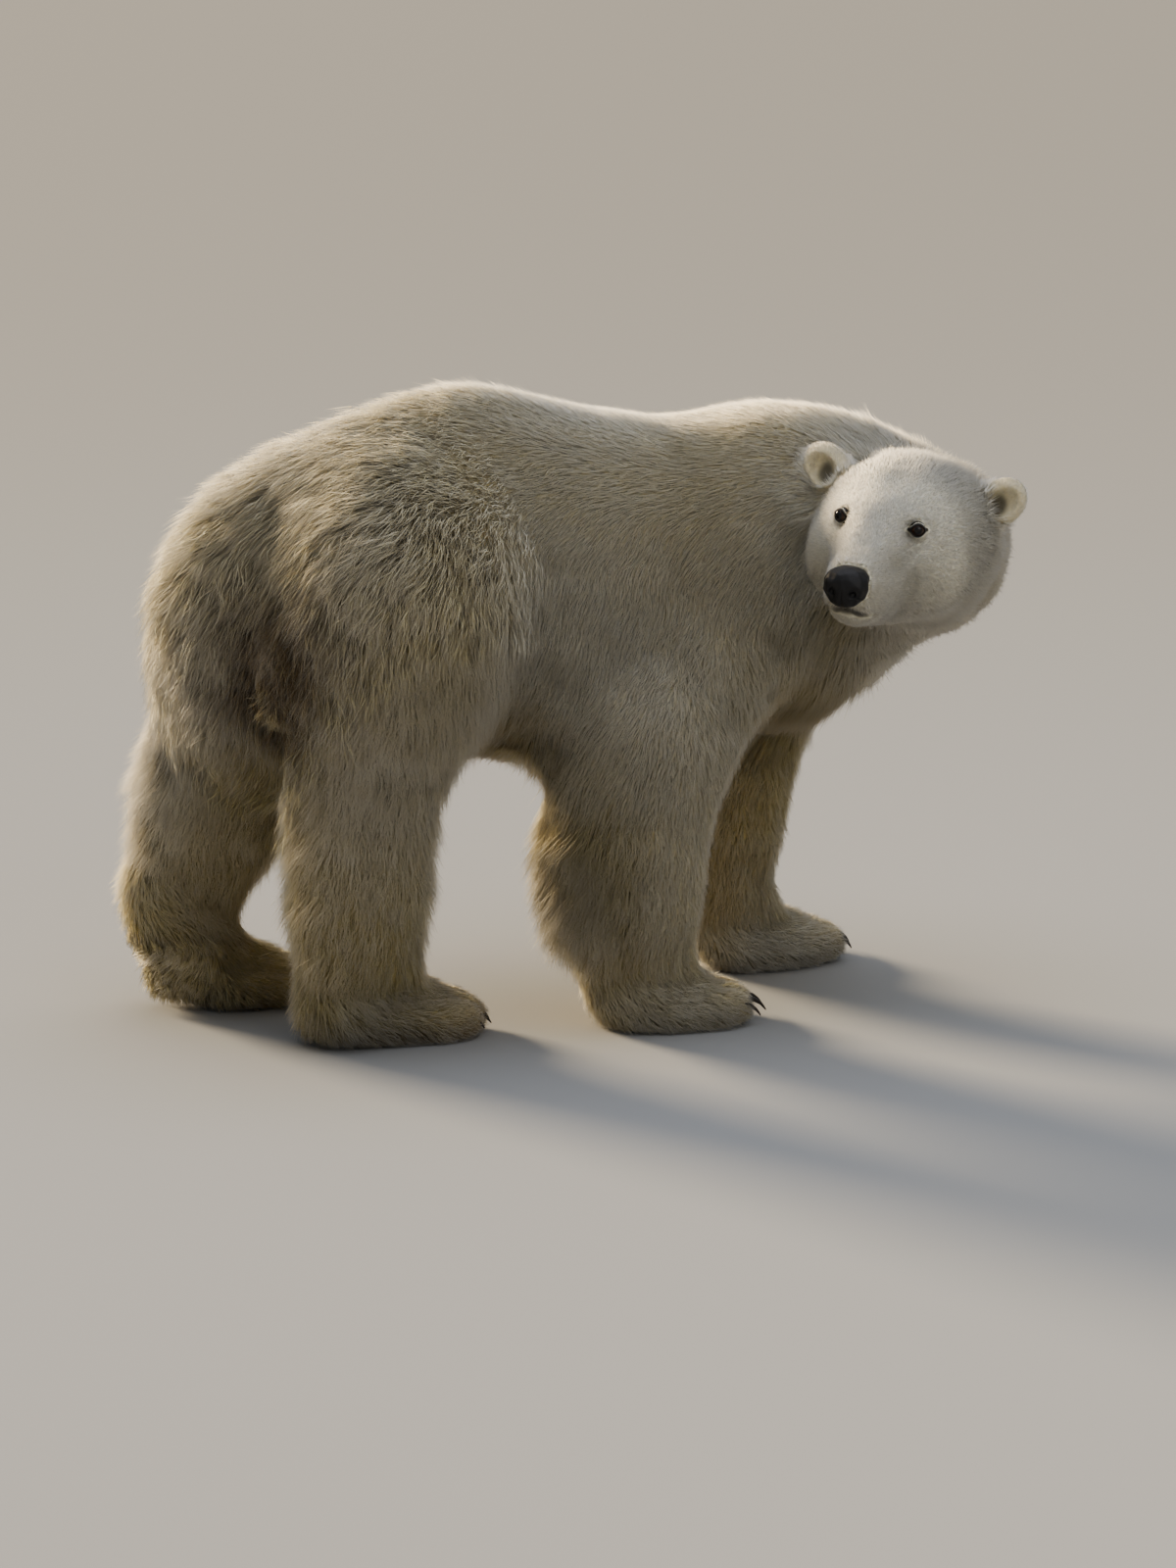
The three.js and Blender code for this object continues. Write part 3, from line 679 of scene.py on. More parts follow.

# %% [markdown]
# ## Stains
# A wild polar bear is not white. Oil and algae tint the coat cream and yellow, and the rump,
# the belly's edge and the insides of the legs are brown where it sits and lies; the darkest
# brown just under the tail is painted shadow. Dark skin shows at the lids, the lips, the nose
# and inside the ears, and the dark inside the ears and under the nose is partly painted shade.
# Each of these is a soft mask.

# %% Masks of yellow, brown and bare dark skin
def stains(points, looks, parts_here):
    """Three masks, 0 to 1: yellow wash, brown stain and dark bare skin; the brown and the dark also
    hold painted shade.
    """
    reach, left, facing = along_spine(points)
    tall = points[:, 2]
    legs = is_part(parts_here, *FORELEGS, *HINDLEGS)
    head = in_head(points)
    behind = -(looks[:, :2] * facing).sum(axis=1)
    inner = -np.sign(left) * (looks[:, 0] * -facing[:, 1] + looks[:, 1] * facing[:, 0])
    heady = is_part(parts_here, *HEAD_PARTS)
    body = ~(heady | is_part(parts_here, *EARS, "neck"))
    yellow = 0.30 + 0.18 * BROAD(points)
    yellow += 0.22 * ramp(-tall, -0.62, -0.30) * body
    yellow += 0.15 * ramp(-reach, -0.15, 0.10) * body
    yellow -= 0.22 * heady
    brown = 1.05 * spot(points, TAIL_PLACE + [-0.03, -0.02, 0.06], (0.15, 0.17, 0.13))
    brown += 0.25 * spot(points, TAIL_PLACE + [-0.02, 0.0, -0.12], (0.12, 0.16, 0.12))
    # Painted shadow: this dark brown spot just under the tail stands for the shadow under the
    # tail's edge.
    brown += 0.80 * spot(points, TAIL_PLACE + [0.02, 0.0, -0.085], (0.09, 0.12, 0.07))
    brown += 0.80 * is_part(parts_here, "tail")
    yellow -= 0.30 * is_part(parts_here, "tail")
    fore = is_part(parts_here, *FORELEGS)
    brown += 0.34 * fore * ramp(behind, 0.1, 0.8) * ramp(tall, 0.08, 0.2)
    yellow += 0.45 * fore * ramp(behind, 0.0, 0.6)
    brown += 0.05 * ramp(inner, 0.2, 0.9) * legs
    yellow += 0.16 * ramp(inner, 0.2, 0.9) * ramp(-tall, -0.60, -0.35) * legs
    under = ramp(-looks[:, 2], 0.3, 0.9) * body * ramp(tall, 0.3, 0.45)
    brown += 0.10 * under
    yellow += 0.45 * under
    brown += 0.45 * is_part(parts_here, *PAWS) * ramp(-tall, -0.07, -0.02)
    brown += 0.28 * is_part(parts_here, "hindpaw_right") * ramp(-tall, -0.17, -0.07)
    lifted = is_part(parts_here, "hindpaw_left") * ramp(-looks[:, 2] + 0.5 * behind, 0.1, 0.6)
    brown += 0.15 * lifted + 0.60 * spot(points, (0.44, 0.60, 0.14), (0.10, 0.09, 0.035))
    brown *= 1 + 0.15 * PATCHY(points)
    yellow = np.clip(yellow, 0, 1)
    brown = np.clip(brown, 0, 1)
    rim = np.full(len(points), 99.0)
    for side in EYES:
        across, ahead, above, almond = eye_plane(points, side)
        rim = np.minimum(rim, np.where(np.hypot(across, above) < 40, almond, 99.0))
    dark = 1 - ramp(rim, 2.3, 3.5)
    line = ridge(head[:, 2] - mouth_line(head), 7.5)
    line *= (1 - ramp(head[:, 1], -130, -84)) * (head[:, 1] > -200)
    dark = np.maximum(dark, 0.90 * line * heady)
    round_nose = spot(head, (0, -160, -104), (34, 20, 22))
    dark = np.maximum(dark, 0.90 * ramp(round_nose, 0.30, 0.65) * heady)
    # The lips are dark skin, and the same spot paints the shade under the nose.
    lips = spot(head, (0, -146, -135), (38, 28, 12))
    dark = np.maximum(dark, 0.75 * ramp(lips, 0.10, 0.8) * heady)
    dark = np.maximum(dark, is_part(parts_here, "nose"))
    for side, outward in (("left", 1), ("right", -1)):
        ear = is_part(parts_here, f"ear_{side}")
        # Inside each ear: partly dark skin, partly painted shade in the ear's hollow.
        patch = spot(head, (outward * 160, 178, 44), (18, 26, 24))
        dark = np.maximum(dark, 0.80 * ramp(patch, 0.25, 0.85) * ear)
    return yellow, brown, np.clip(dark, 0, 1)


yellow, brown, dark = stains(OUTLINE, normals, parts)
yellow, brown = softened(yellow, pairs, 12), softened(brown, pairs, 12)
print("dark skin on", int((dark > 0.5).sum()), "points")

# %% Colours are written as sRGB hex and turned to linear light here


def linear(hex_colour):
    parts_of_colour = [int(hex_colour[i : i + 2], 16) / 255 for i in (1, 3, 5)]
    return [c / 12.92 if c <= 0.04045 else ((c + 0.055) / 1.055) ** 2.4
            for c in parts_of_colour] + [1.0]


def add(tree, kind, inputs=None, **settings):
    """Adds a node. Its inputs, by name or number, take a value or another node's output."""
    made = tree.nodes.new(kind)
    for key, value in settings.items():
        setattr(made, key, value)
    for key, value in (inputs or {}).items():
        if isinstance(value, bpy.types.NodeSocket):
            tree.links.new(value, made.inputs[key])
        else:
            made.inputs[key].default_value = value
    return made


def new_material(name):
    material = bpy.data.materials.new(name)
    material.use_nodes = True
    material.node_tree.nodes.clear()
    return material, material.node_tree


# %% [markdown]
# ## The colour of the coat
# One recipe colours both the skin and the locks, so that no seam shows where the coat is thin.
# The hair is keratin without pigment: cream, matt from afar, a little glossy along each hair.
# Masks stored on the mesh choose between cream, yellow, brown and dark skin, and a noise of
# the size of a few locks breaks them up. The brown and dark masks also carry painted shadow
# under the tail and painted shade inside the ears and under the nose. Each lock is painted
# darker at its root and lighter at its tip, as painted shade deep in the coat and painted
# light on the tips.

# %% Coat material, for skin and locks
# The stain colour is also the colour of a painted shadow under the tail, and the hide colour that
# of painted shade inside the ears and under the nose.
CREAM, WASH, STAIN_AND_SHADOW, HIDE_AND_SHADE = "#F4EFDC", "#DCC88A", "#6B5434", "#1B1918"
COLOUR_A, COLOUR_B, MIXED_COLOUR = 6, 7, 2  # the Mix node's sockets for colours
PATCH_OF_LOCKS = 38.4615 * MM
TIP_OF_LOCK = 6.66667 * MM
DOWN_HAIR = 2.38095 * MM  # real down is finer; this is as fine as shows


def coat_material(name, painted_tip_light, roughness):
    material, tree = new_material(name)
    where = add(tree, "ShaderNodeTexCoord").outputs["Object"]
    patches = add(tree, "ShaderNodeTexNoise",
                  {"Vector": where, "Scale": 1 / PATCH_OF_LOCKS, "Detail": 3.0})
    masks = {key: add(tree, "ShaderNodeAttribute", attribute_name=key).outputs["Fac"]
             for key in ("yellow", "brown", "dark", "tip", "lock")}
    uneven = add(tree, "ShaderNodeMath", {0: patches.outputs["Fac"], 1: 0.9, 2: -0.10},
                 operation="MULTIPLY_ADD")
    wash = add(tree, "ShaderNodeMath", {0: masks["yellow"], 1: uneven.outputs[0]},
               operation="MULTIPLY_ADD", use_clamp=True)
    tree.links.new(masks["yellow"], wash.inputs[2])
    colour = linear(CREAM)
    for mask, tint in ((wash.outputs[0], WASH), (masks["brown"], STAIN_AND_SHADOW)):
        mix = add(tree, "ShaderNodeMix", {0: mask, COLOUR_A: colour, COLOUR_B: linear(tint)},
                  data_type="RGBA")
        colour = mix.outputs[MIXED_COLOUR]
    varied = add(tree, "ShaderNodeMapRange",
                 {"Value": masks["lock"], "To Min": 0.86, "To Max": 1.06})
    # Painted shade and light: each lock is darker at its root and lighter at its tip, standing in
    # for shade deep in the coat and light on the tips.
    root_shade_tip_light = add(tree, "ShaderNodeMapRange",
                 {"Value": masks["tip"], "To Min": 0.80, "To Max": painted_tip_light})
    speckle = add(tree, "ShaderNodeTexNoise",
                  {"Vector": where, "Scale": 1 / TIP_OF_LOCK, "Detail": 4.0})
    speckled = add(tree, "ShaderNodeMapRange",
                   {"Value": speckle.outputs["Fac"], "From Min": 0.3, "From Max": 0.7,
                    "To Min": 0.90, "To Max": 1.06})
    light = add(tree, "ShaderNodeMath", {0: varied.outputs[0], 1: root_shade_tip_light.outputs[0]},
                operation="MULTIPLY")
    light = add(tree, "ShaderNodeMath", {0: light.outputs[0], 1: speckled.outputs[0]},
                operation="MULTIPLY")
    toned = add(tree, "ShaderNodeVectorMath", {0: colour, "Scale": light.outputs[0]},
                operation="SCALE")
    bared = add(tree, "ShaderNodeMix",
                {0: masks["dark"], COLOUR_A: toned.outputs[0], COLOUR_B: linear(HIDE_AND_SHADE)},
                data_type="RGBA")
    shader = add(tree, "ShaderNodeBsdfPrincipled",
                 {"Base Color": bared.outputs[MIXED_COLOUR], "Roughness": roughness, "IOR": 1.55,
                  "Specular IOR Level": 0.30, "Sheen Weight": 0.25, "Sheen Roughness": 0.5,
                  "Subsurface Weight": 0.75, "Subsurface Scale": 0.008,
                  "Subsurface Radius": (1.0, 0.86, 0.62)})
    add(tree, "ShaderNodeOutputMaterial", {"Surface": shader.outputs[0]})
    return material, tree, shader, where


skin_material, tree, shader, where = coat_material("undercoat on hide", 1.0, 0.8)
grain = add(tree, "ShaderNodeTexNoise",
            {"Vector": where, "Scale": 1 / DOWN_HAIR, "Detail": 2.0})
bump = add(tree, "ShaderNodeBump", {"Height": grain.outputs["Fac"], "Strength": 0.35,
                                    "Distance": 0.0012})
tree.links.new(bump.outputs[0], shader.inputs["Normal"])
fur_material = coat_material("polar bear guard hair", 1.08, 0.62)[0]

# %% Finish the skin
for face in skin.faces:
    face.smooth = True
skin.to_mesh(flesh.data)
skin.free()


def store(mesh, name, values):
    layer = mesh.attributes.new(name, "FLOAT", "POINT")
    layer.data.foreach_set("value", np.ascontiguousarray(values, dtype=np.float32))


# The skin gets the value of a lock's root, so it carries the same painted shade as the roots.
for name, values in (("yellow", yellow), ("brown", brown), ("dark", dark),
                     ("tip", np.full(len(yellow), 0.35)), ("lock", np.full(len(yellow), 0.5))):
    store(flesh.data, name, values)
flesh.data.materials.append(skin_material)
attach(flesh, "root")
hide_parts(*FLESH)
print("skin:", len(flesh.data.polygons), "faces")

# %% [markdown]
# ## Eyes
# Each eye is a ball with a slight bulge at the front, the cornea. It is nearly black: a brown
# iris round a dark pupil, wet and glossy, so a highlight tells where it looks.

# %% Model both eyes
eye_material, tree = new_material("wet dark eye")
angle = add(tree, "ShaderNodeAttribute", attribute_name="gaze")
iris = add(tree, "ShaderNodeValToRGB", {"Fac": angle.outputs["Fac"]})
stops = iris.color_ramp
stops.elements[0].position, stops.elements[0].color = 0.30, linear("#050303")
stops.elements[1].position, stops.elements[1].color = 1.0, linear("#0B0706")
for place, colour in ((0.36, "#3A2212"), (0.56, "#2B180C"), (0.66, "#080504")):
    stop = stops.elements.new(place)
    stop.color = linear(colour)
shader = add(tree, "ShaderNodeBsdfPrincipled",
             {"Base Color": iris.outputs[0], "Roughness": 0.12, "IOR": 1.38,
              "Coat Weight": 0.5, "Coat Roughness": 0.02})
add(tree, "ShaderNodeOutputMaterial", {"Surface": shader.outputs[0]})

for side, place in EYES.items():
    ball = bmesh.new()
    bmesh.ops.create_uvsphere(ball, u_segments=40, v_segments=28, radius=EYE_RADIUS * MM)
    forward = HEAD_AXES @ gaze(side)[1]
    turns = []
    for vertex in ball.verts:
        cosine = float(np.clip(np.dot(vertex.co.normalized(), forward), -1, 1))
        vertex.co *= 1 + 0.05 * float(ramp(np.array(cosine), 0.78, 0.92))
        turns.append(math.acos(cosine) / math.radians(90))
        vertex.co += Vector(place)
    for face in ball.faces:
        face.smooth = True
    eye = piece_from(ball, f"eyeball_{side}")
    store(eye.data, "gaze", np.array(turns))
    eye.data.materials.append(eye_material)
    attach(eye, "root")
    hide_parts(f"eye_{side}")
print("eyes of", 2 * EYE_RADIUS, "mm")

# %% [markdown]
# ## Nose
# The nose pad is bare black skin with a fine pebble grain, kept wet. Its nostrils are commas
# that open forwards and curl out to the side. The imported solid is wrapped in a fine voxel
# mesh, smoothed, and the nostrils are pressed in.

# %% Model the nose pad
nose = piece_from(merged_copy("nose"), "nose_pad")
remesh = nose.modifiers.new("fine net", "REMESH")
remesh.mode = "VOXEL"
remesh.voxel_size = 2 * MM
pad = bmesh.new()
pad.from_mesh(applied(nose))
nose.modifiers.clear()
places, pairs = read(pad)
places = relaxed(places, pairs, np.full(len(places), 16.0))
nose_normals = put(pad, places)
local = in_head(places)
front = ramp(-local[:, 1], 150, 165)
press_in = np.zeros(len(places))
for outward in (1, -1):
    opening = spot(local * [outward, 1, 1], (19, -180, -92), (7.5, 30, 6.5))
    slit = spot(local * [outward, 1, 1], (32, -172, -97), (9, 30, 3.2))
    press_in += 6.0 * ramp(opening, 0.35, 0.85) * front + 4.0 * ramp(slit, 0.35, 0.9) * front
    rim = spot(local * [outward, 1, 1], (21, -180, -80), (12, 30, 5))
    places = places + nose_normals * (1.6 * MM * rim * front)[:, None]
places = places + np.outer((-7 + 0.10 * (local[:, 2] + 88)) * MM, HEAD_AXES[:, 2])
shield = 0.12 * np.clip((local[:, 2] + 88) / 29, -1, 1) * local[:, 0] - 2
places = places + np.outer(shield * MM, HEAD_AXES[:, 0])
groove = ridge(local[:, 0], 1.8) * front * ramp(-local[:, 2], 84, 92)
places = places + np.outer((press_in + 2.5 * groove) * MM, HEAD_AXES[:, 1])
put(pad, places)
for face in pad.faces:
    face.smooth = True
pad.to_mesh(nose.data)
pad.free()

PEBBLE = 1.6129 * MM
nose_material, tree = new_material("wet pebbled nose skin")
where = add(tree, "ShaderNodeTexCoord").outputs["Object"]
pebbles = add(tree, "ShaderNodeTexVoronoi", {"Vector": where, "Scale": 1 / PEBBLE})
# Painted shade: each pebble is lighter on its top and darker in the cracks between pebbles.
tint = add(tree, "ShaderNodeMix",
           {0: pebbles.outputs["Distance"], COLOUR_A: linear("#1B1A1C"),
            COLOUR_B: linear("#0B0A0B")}, data_type="RGBA")
bump = add(tree, "ShaderNodeBump",
           {"Height": pebbles.outputs["Distance"], "Strength": 0.45, "Distance": 0.0008},
           invert=True)
shader = add(tree, "ShaderNodeBsdfPrincipled",
             {"Base Color": tint.outputs[MIXED_COLOUR], "Roughness": 0.50, "IOR": 1.45,
              "Coat Weight": 0.10, "Coat Roughness": 0.30, "Normal": bump.outputs[0]})
add(tree, "ShaderNodeOutputMaterial", {"Surface": shader.outputs[0]})
nose.data.materials.append(nose_material)
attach(nose, "root")
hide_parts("nose")
print("nose pad:", len(nose.data.polygons), "faces")

# %% [markdown]
# ## Claws
# The claws are short, thick and sharply curved, of dark horn with fine streaks along them.
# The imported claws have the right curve, so copies are rounded by subdivision.

# %% Round the claws
FORE_CLAW_SUNK, HIND_CLAW_SUNK, CLAW_RAISED = 9 * MM, 20 * MM, 2 * MM
horns = bmesh.new()
for name in CLAWS:
    horn = merged_copy(name)
    ahead = TOES[name[len("claw_") : -2]][2]
    drawn_in = HIND_CLAW_SUNK if "hindpaw" in name else FORE_CLAW_SUNK
    moved = Vector(-ahead * drawn_in) + Vector((0, 0, CLAW_RAISED))
    bmesh.ops.translate(horn, verts=horn.verts, vec=moved)
    loose = bpy.data.meshes.new(name + "_copy")
    horn.to_mesh(loose)
    horn.free()
    horns.from_mesh(loose)
for face in horns.faces:
    face.smooth = True
claws = piece_from(horns, "claws")
round_off = claws.modifiers.new("rounded", "SUBSURF")
round_off.levels = 2
round_off.render_levels = 2

STREAK = 3.33333 * MM  # real streaks are finer; these are as fine as show
claw_material, tree = new_material("dark claw horn")
where = add(tree, "ShaderNodeTexCoord").outputs["Object"]
streaks = add(tree, "ShaderNodeTexNoise",
              {"Vector": where, "Scale": 1 / STREAK, "Detail": 3.0})
tint = add(tree, "ShaderNodeMix",
           {0: streaks.outputs["Fac"], COLOUR_A: linear("#191513"),
            COLOUR_B: linear("#3A322B")}, data_type="RGBA")
shader = add(tree, "ShaderNodeBsdfPrincipled",
             {"Base Color": tint.outputs[MIXED_COLOUR], "Roughness": 0.38, "IOR": 1.54})
add(tree, "ShaderNodeOutputMaterial", {"Surface": shader.outputs[0]})
claws.data.materials.append(claw_material)
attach(claws, "root")
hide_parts(*CLAWS)
print("claws:", len(CLAWS))

# %% [markdown]
# ## One lock of hair
# Single hairs would run to millions, so the unit is a lock: some hundred hairs that cling
# together into a spike with three sides. Short hair lies straight, so its lock is a plain
# spike. Long hair bends, so its lock is cut once across and can curve. Copies are laid along
# the flow, root on the skin and tip at the outline. Neighbours lean to a common tip, as hair
# does that has been wet and has dried again.

# %% Model the two kinds of lock
from mathutils.kdtree import KDTree


def lock_shape(cuts):
    """Corners of one lock, as x across, y up and z from root to tip, and its triangles."""
    cone = bmesh.new()
    bmesh.ops.create_cone(cone, cap_ends=True, segments=3, radius1=0.6, radius2=0.0, depth=1.0)
    bmesh.ops.remove_doubles(cone, verts=cone.verts, dist=1e-4)
    if cuts:
        rising = [edge for edge in cone.edges if abs(edge.verts[0].co.z - edge.verts[1].co.z) > 0.5]
        bmesh.ops.subdivide_edges(cone, edges=rising, cuts=cuts)
    bmesh.ops.triangulate(cone, faces=cone.faces)
    bmesh.ops.recalc_face_normals(cone, faces=cone.faces)
    cone.verts.index_update()
    shape = np.array([vertex.co for vertex in cone.verts])
    triangles = np.array([[vertex.index for vertex in face.verts] for face in cone.faces])
    cone.free()
    shape[:, 2] += 0.5
    fullness = 1 + 1.1 * np.sin(np.pi * np.clip(shape[:, 2], 0, 1))
    shape[:, :2] *= fullness[:, None]
    return shape, triangles


STRAIGHT, CURVED = lock_shape(0), lock_shape(1)
print("a straight lock has", len(STRAIGHT[1]), "triangles and a curved one", len(CURVED[1]))

# %% Sow the roots evenly over the skin
flesh.data.calc_loop_triangles()
TRIANGLES = np.array([tuple(t.vertices) for t in flesh.data.loop_triangles])
RANDOM = np.random.default_rng(5)


def sow(triangles, count, density):
    """Roots spread over triangles, thicker where density, given at the points, is high."""
    a, b, c = (SKIN[triangles[:, i]] for i in range(3))
    area = np.linalg.norm(np.cross(b - a, c - a), axis=1) / 2
    share = np.cumsum(area * density[triangles].mean(axis=1))
    places = (np.arange(count) + RANDOM.uniform(0, 1, count)) / count * share[-1]
    chosen = triangles[np.minimum(np.searchsorted(share, places), len(triangles) - 1)]
    u, v = RANDOM.uniform(0, 1, (2, count))
    flip = u + v > 1
    u[flip], v[flip] = 1 - u[flip], 1 - v[flip]
    return chosen, np.stack([1 - u - v, u, v], axis=1)


def mixed(values, chosen, weights):
    """The values at the corners of the chosen triangles, mixed by weight."""
    picked = values[chosen]
    if values.ndim == 1:
        return (picked * weights).sum(axis=1)
    return (picked * weights[:, :, None]).sum(axis=1)


# %% A piece's map, and tips drawn together
def wrap_map(roots, axis_from, axis_to):
    """The unwrap of a limb or of the trunk: turn round its axis, and distance along it."""
    along = unit((axis_to - axis_from)[None])[0]
    apart = roots - axis_from
    across = unit(np.cross(along, [0.31, 0.22, 0.92])[None])[0]
    turn = np.arctan2(apart @ np.cross(along, across), apart @ across)
    flat = np.stack([turn, apart @ along], axis=1)
    low, high = flat.min(axis=0), flat.max(axis=0)
    return 0.01 + 0.98 * (flat - low) / (high - low)


def leaning(roots, reach, every, pull):
    """Draws the tips of neighbouring locks together."""
    leaders = np.arange(0, len(roots), every)
    tree = KDTree(len(leaders))
    for index, leader in enumerate(leaders):
        tree.insert(roots[leader], index)
    tree.balance()
    nearest = leaders[[tree.find(root)[1] for root in roots]]
    shared = roots[nearest] + reach[nearest]
    return reach + pull * (shared - roots - reach)


# %% Lay one piece of coat
SHORTEST, LONGEST = 6 * MM, 90 * MM
SLIMNESS = 0.06  # width of a lock over its length
SUNK = 0.8 * MM  # how deep the roots go into the skin
OFF_FLOOR = 0.6 * MM
PATCH, MARGIN = 0.003, 0.0005  # a lock's place on the map, and the map's edge


def lay(name, triangles, count, lock, axis, look):
    """A piece of coat: count locks on some of the skin's triangles."""
    chosen, weights = sow(triangles, count, thickly)
    roots = mixed(SKIN, chosen, weights)
    up = unit(mixed(skin_normals, chosen, weights))
    lies = mixed(flow, chosen, weights)
    deep = mixed(depth, chosen, weights) * MM
    clump = LOCKED(roots)
    stray = RANDOM.uniform(0, 1, count) < look["strays"]
    sway = 0.9 * clump + 0.6 * FINE(roots) + RANDOM.normal(0, look["tousled"], count)
    sway = look["sway"] * sway + stray * RANDOM.normal(0, 0.35, count)
    across = unit(np.cross(lies, up))
    lies = unit(lies - up * (lies * up).sum(axis=1)[:, None] + across * sway[:, None])
    across = unit(np.cross(lies, up))
    length = deep * look["long"] * RANDOM.uniform(0.7, 1.15, count) * (1 + 0.2 * clump)
    length = np.clip(length * (1 + 0.25 * stray), SHORTEST, LONGEST)
    thin, thick = look["width"]
    width = np.clip(length * SLIMNESS, thin * MM, thick * MM) * RANDOM.uniform(0.7, 1.2, count)
    loose = 0.32 * ramp(deep / MM, 24, 34)
    rise = RANDOM.normal(look["rise"], 0.12, count) + 0.07 * clump + 0.45 * stray + loose
    rise = deep * np.clip(rise, 0.4, look["rise"] + 0.35 + 0.3 * stray)
    reach = lies * length[:, None] + up * rise[:, None]
    reach = leaning(roots, reach, look["every"], look["pull"])
    shape, corners = lock
    t = shape[:, 2][None, :, None]
    arch = up[:, None] * (look["arch"] * rise)[:, None, None] * t * (1 - t)
    sunk = up[:, None] * SUNK * (1 - t)
    points = roots[:, None] + reach[:, None] * t + arch - sunk
    points = points + across[:, None] * shape[:, 0][None, :, None] * width[:, None, None]
    points = points + up[:, None] * shape[:, 1][None, :, None] * (0.5 * width)[:, None, None]
    points[:, :, 2] = np.maximum(points[:, :, 2], OFF_FLOOR)
    faces = corners[None] + (np.arange(count) * len(shape))[:, None, None]

    mesh = bpy.data.meshes.new(name)
    mesh.vertices.add(count * len(shape))
    mesh.vertices.foreach_set("co", points.astype(np.float32).ravel())
    mesh.loops.add(faces.size)
    mesh.loops.foreach_set("vertex_index", faces.astype(np.int32).ravel())
    mesh.polygons.add(faces.size // 3)
    mesh.polygons.foreach_set("loop_start", np.arange(0, faces.size, 3, dtype=np.int32))
    mesh.polygons.foreach_set("use_smooth", np.ones(faces.size // 3, dtype=bool))
    mesh.update(calc_edges=True)

    each = len(shape)
    tone = 0.5 + 0.12 * clump + RANDOM.normal(0, look["motley"], count)
    fields = {
        "yellow": np.repeat(mixed(yellow, chosen, weights), each),
        "brown": np.repeat(np.clip(mixed(brown, chosen, weights) * (1 + 0.15 * clump), 0, 1), each),
        "dark": np.repeat(mixed(dark, chosen, weights) * (0.3 if name == "coat_head" else 1), each),
        "lock": np.repeat(np.clip(tone, 0, 1), each),
        # tip runs from 0 at the root to 1 at the tip; the material paints shade at the root and
        # light at the tip from it.
        "tip": np.tile(shape[:, 2], count),
    }
    for key, values in fields.items():
        store(mesh, key, values)
    x, y, z = shape.T
    patch = np.stack([2 * x + 0.5 * y, 2 * z - 1 + 0.4 * y], axis=1) * (PATCH / 2)
    flat = wrap_map(roots, *axis)[:, None] + patch[None]
    flat = np.clip(flat, MARGIN, 1 - MARGIN).reshape(-1, 2)
    layer = mesh.uv_layers.new(name="OFBake")
    layer.data.foreach_set("uv", flat[faces.ravel()].astype(np.float32).ravel())

    piece = bpy.data.objects.new(name, mesh)
    bpy.context.collection.objects.link(piece)
    mesh.materials.append(fur_material)
    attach(piece, "root")
    print(name, count, "locks,", faces.size // 3, "triangles")
    return piece


# %% [markdown]
# ## The coat, stretch by stretch
# The coat is laid in pieces, because one mesh of all the locks would be too heavy to handle.
# Each stretch has its own look: sleek on the back, shaggy on the rump, fringed behind the
# forelegs, velvety on the face. No hair grows on the nose, on dark skin or under the soles.

# %% Where the coat grows, and how thickly
triangle_parts = parts[TRIANGLES[:, 0]]
centres = SKIN[TRIANGLES].mean(axis=1)
covered = (dark[TRIANGLES].mean(axis=1) < 0.35) & (centres[:, 2] > 7 * MM)
covered &= ~is_part(triangle_parts, "nose") & (lids[TRIANGLES].min(axis=1) > 4.2)
trunk_reach = along_spine(centres)[0] + 0.03 * LOCKED(centres)
thickly = 1 + 1.2 * ramp(depth, 24, 34)
face_place = in_head(SKIN)
thickly *= 1 + 1.5 * ramp(-face_place[:, 1], -60, 40) * is_part(parts, "head")

# %% The looks of the coat
# As times the coat's depth: long, the length of a lock, and rise, how high its tip stands.
# In millimetres: width. Sway and tousled turn a lock from the flow, strays is the share that
# stands off, pull draws together the tips of as many neighbours as every says, arch bends a
# lock, and motley is how much the tone varies from lock to lock.
SLEEK = {"long": 2.8, "width": (0.9, 1.8), "sway": 0.16, "tousled": 0.5, "strays": 0.06,
         "pull": 0.25, "every": 9, "arch": 1.2, "motley": 0.18, "rise": 0.86}
VELVET = {**SLEEK, "width": (0.9, 1.9), "sway": 0.24, "tousled": 0.6, "pull": 0.20, "every": 8,
          "arch": 1.0, "motley": 0.38}
SHAGGY = {"long": 2.8, "width": (0.9, 1.7), "sway": 0.34, "tousled": 0.7, "strays": 0.24,
          "pull": 0.42, "every": 14, "arch": 1.0, "motley": 0.18, "rise": 0.95}
FLUFFY = {**SHAGGY, "long": 2.4, "width": (0.8, 1.5), "sway": 0.36, "tousled": 0.8,
          "strays": 0.22, "pull": 0.30, "every": 12, "arch": 0.7}
FRINGED = {**SHAGGY, "width": (0.8, 1.5), "sway": 0.30, "pull": 0.35, "every": 12, "arch": 0.8,
           "rise": 1.05}
TRAILING = {**SHAGGY, "long": 2.0, "sway": 0.40, "tousled": 0.8, "strays": 0.12, "pull": 0.35,
            "every": 12, "motley": 0.22, "rise": 0.8}
HANGING = {**SHAGGY, "long": 2.4, "width": (1.0, 1.8), "sway": 0.50, "tousled": 0.9,
           "strays": 0.30, "pull": 0.50, "arch": 0.3, "motley": 0.32, "rise": 1.7}
TOED = {**SHAGGY, "long": 3.0, "width": (1.2, 2.3), "sway": 0.36, "tousled": 0.8,
        "strays": 0.28, "pull": 0.30, "every": 8, "motley": 0.24, "rise": 1.0}


# %% Lay the coat, stretch by stretch
def faces_of(*names):
    return covered & is_part(triangle_parts, *names)


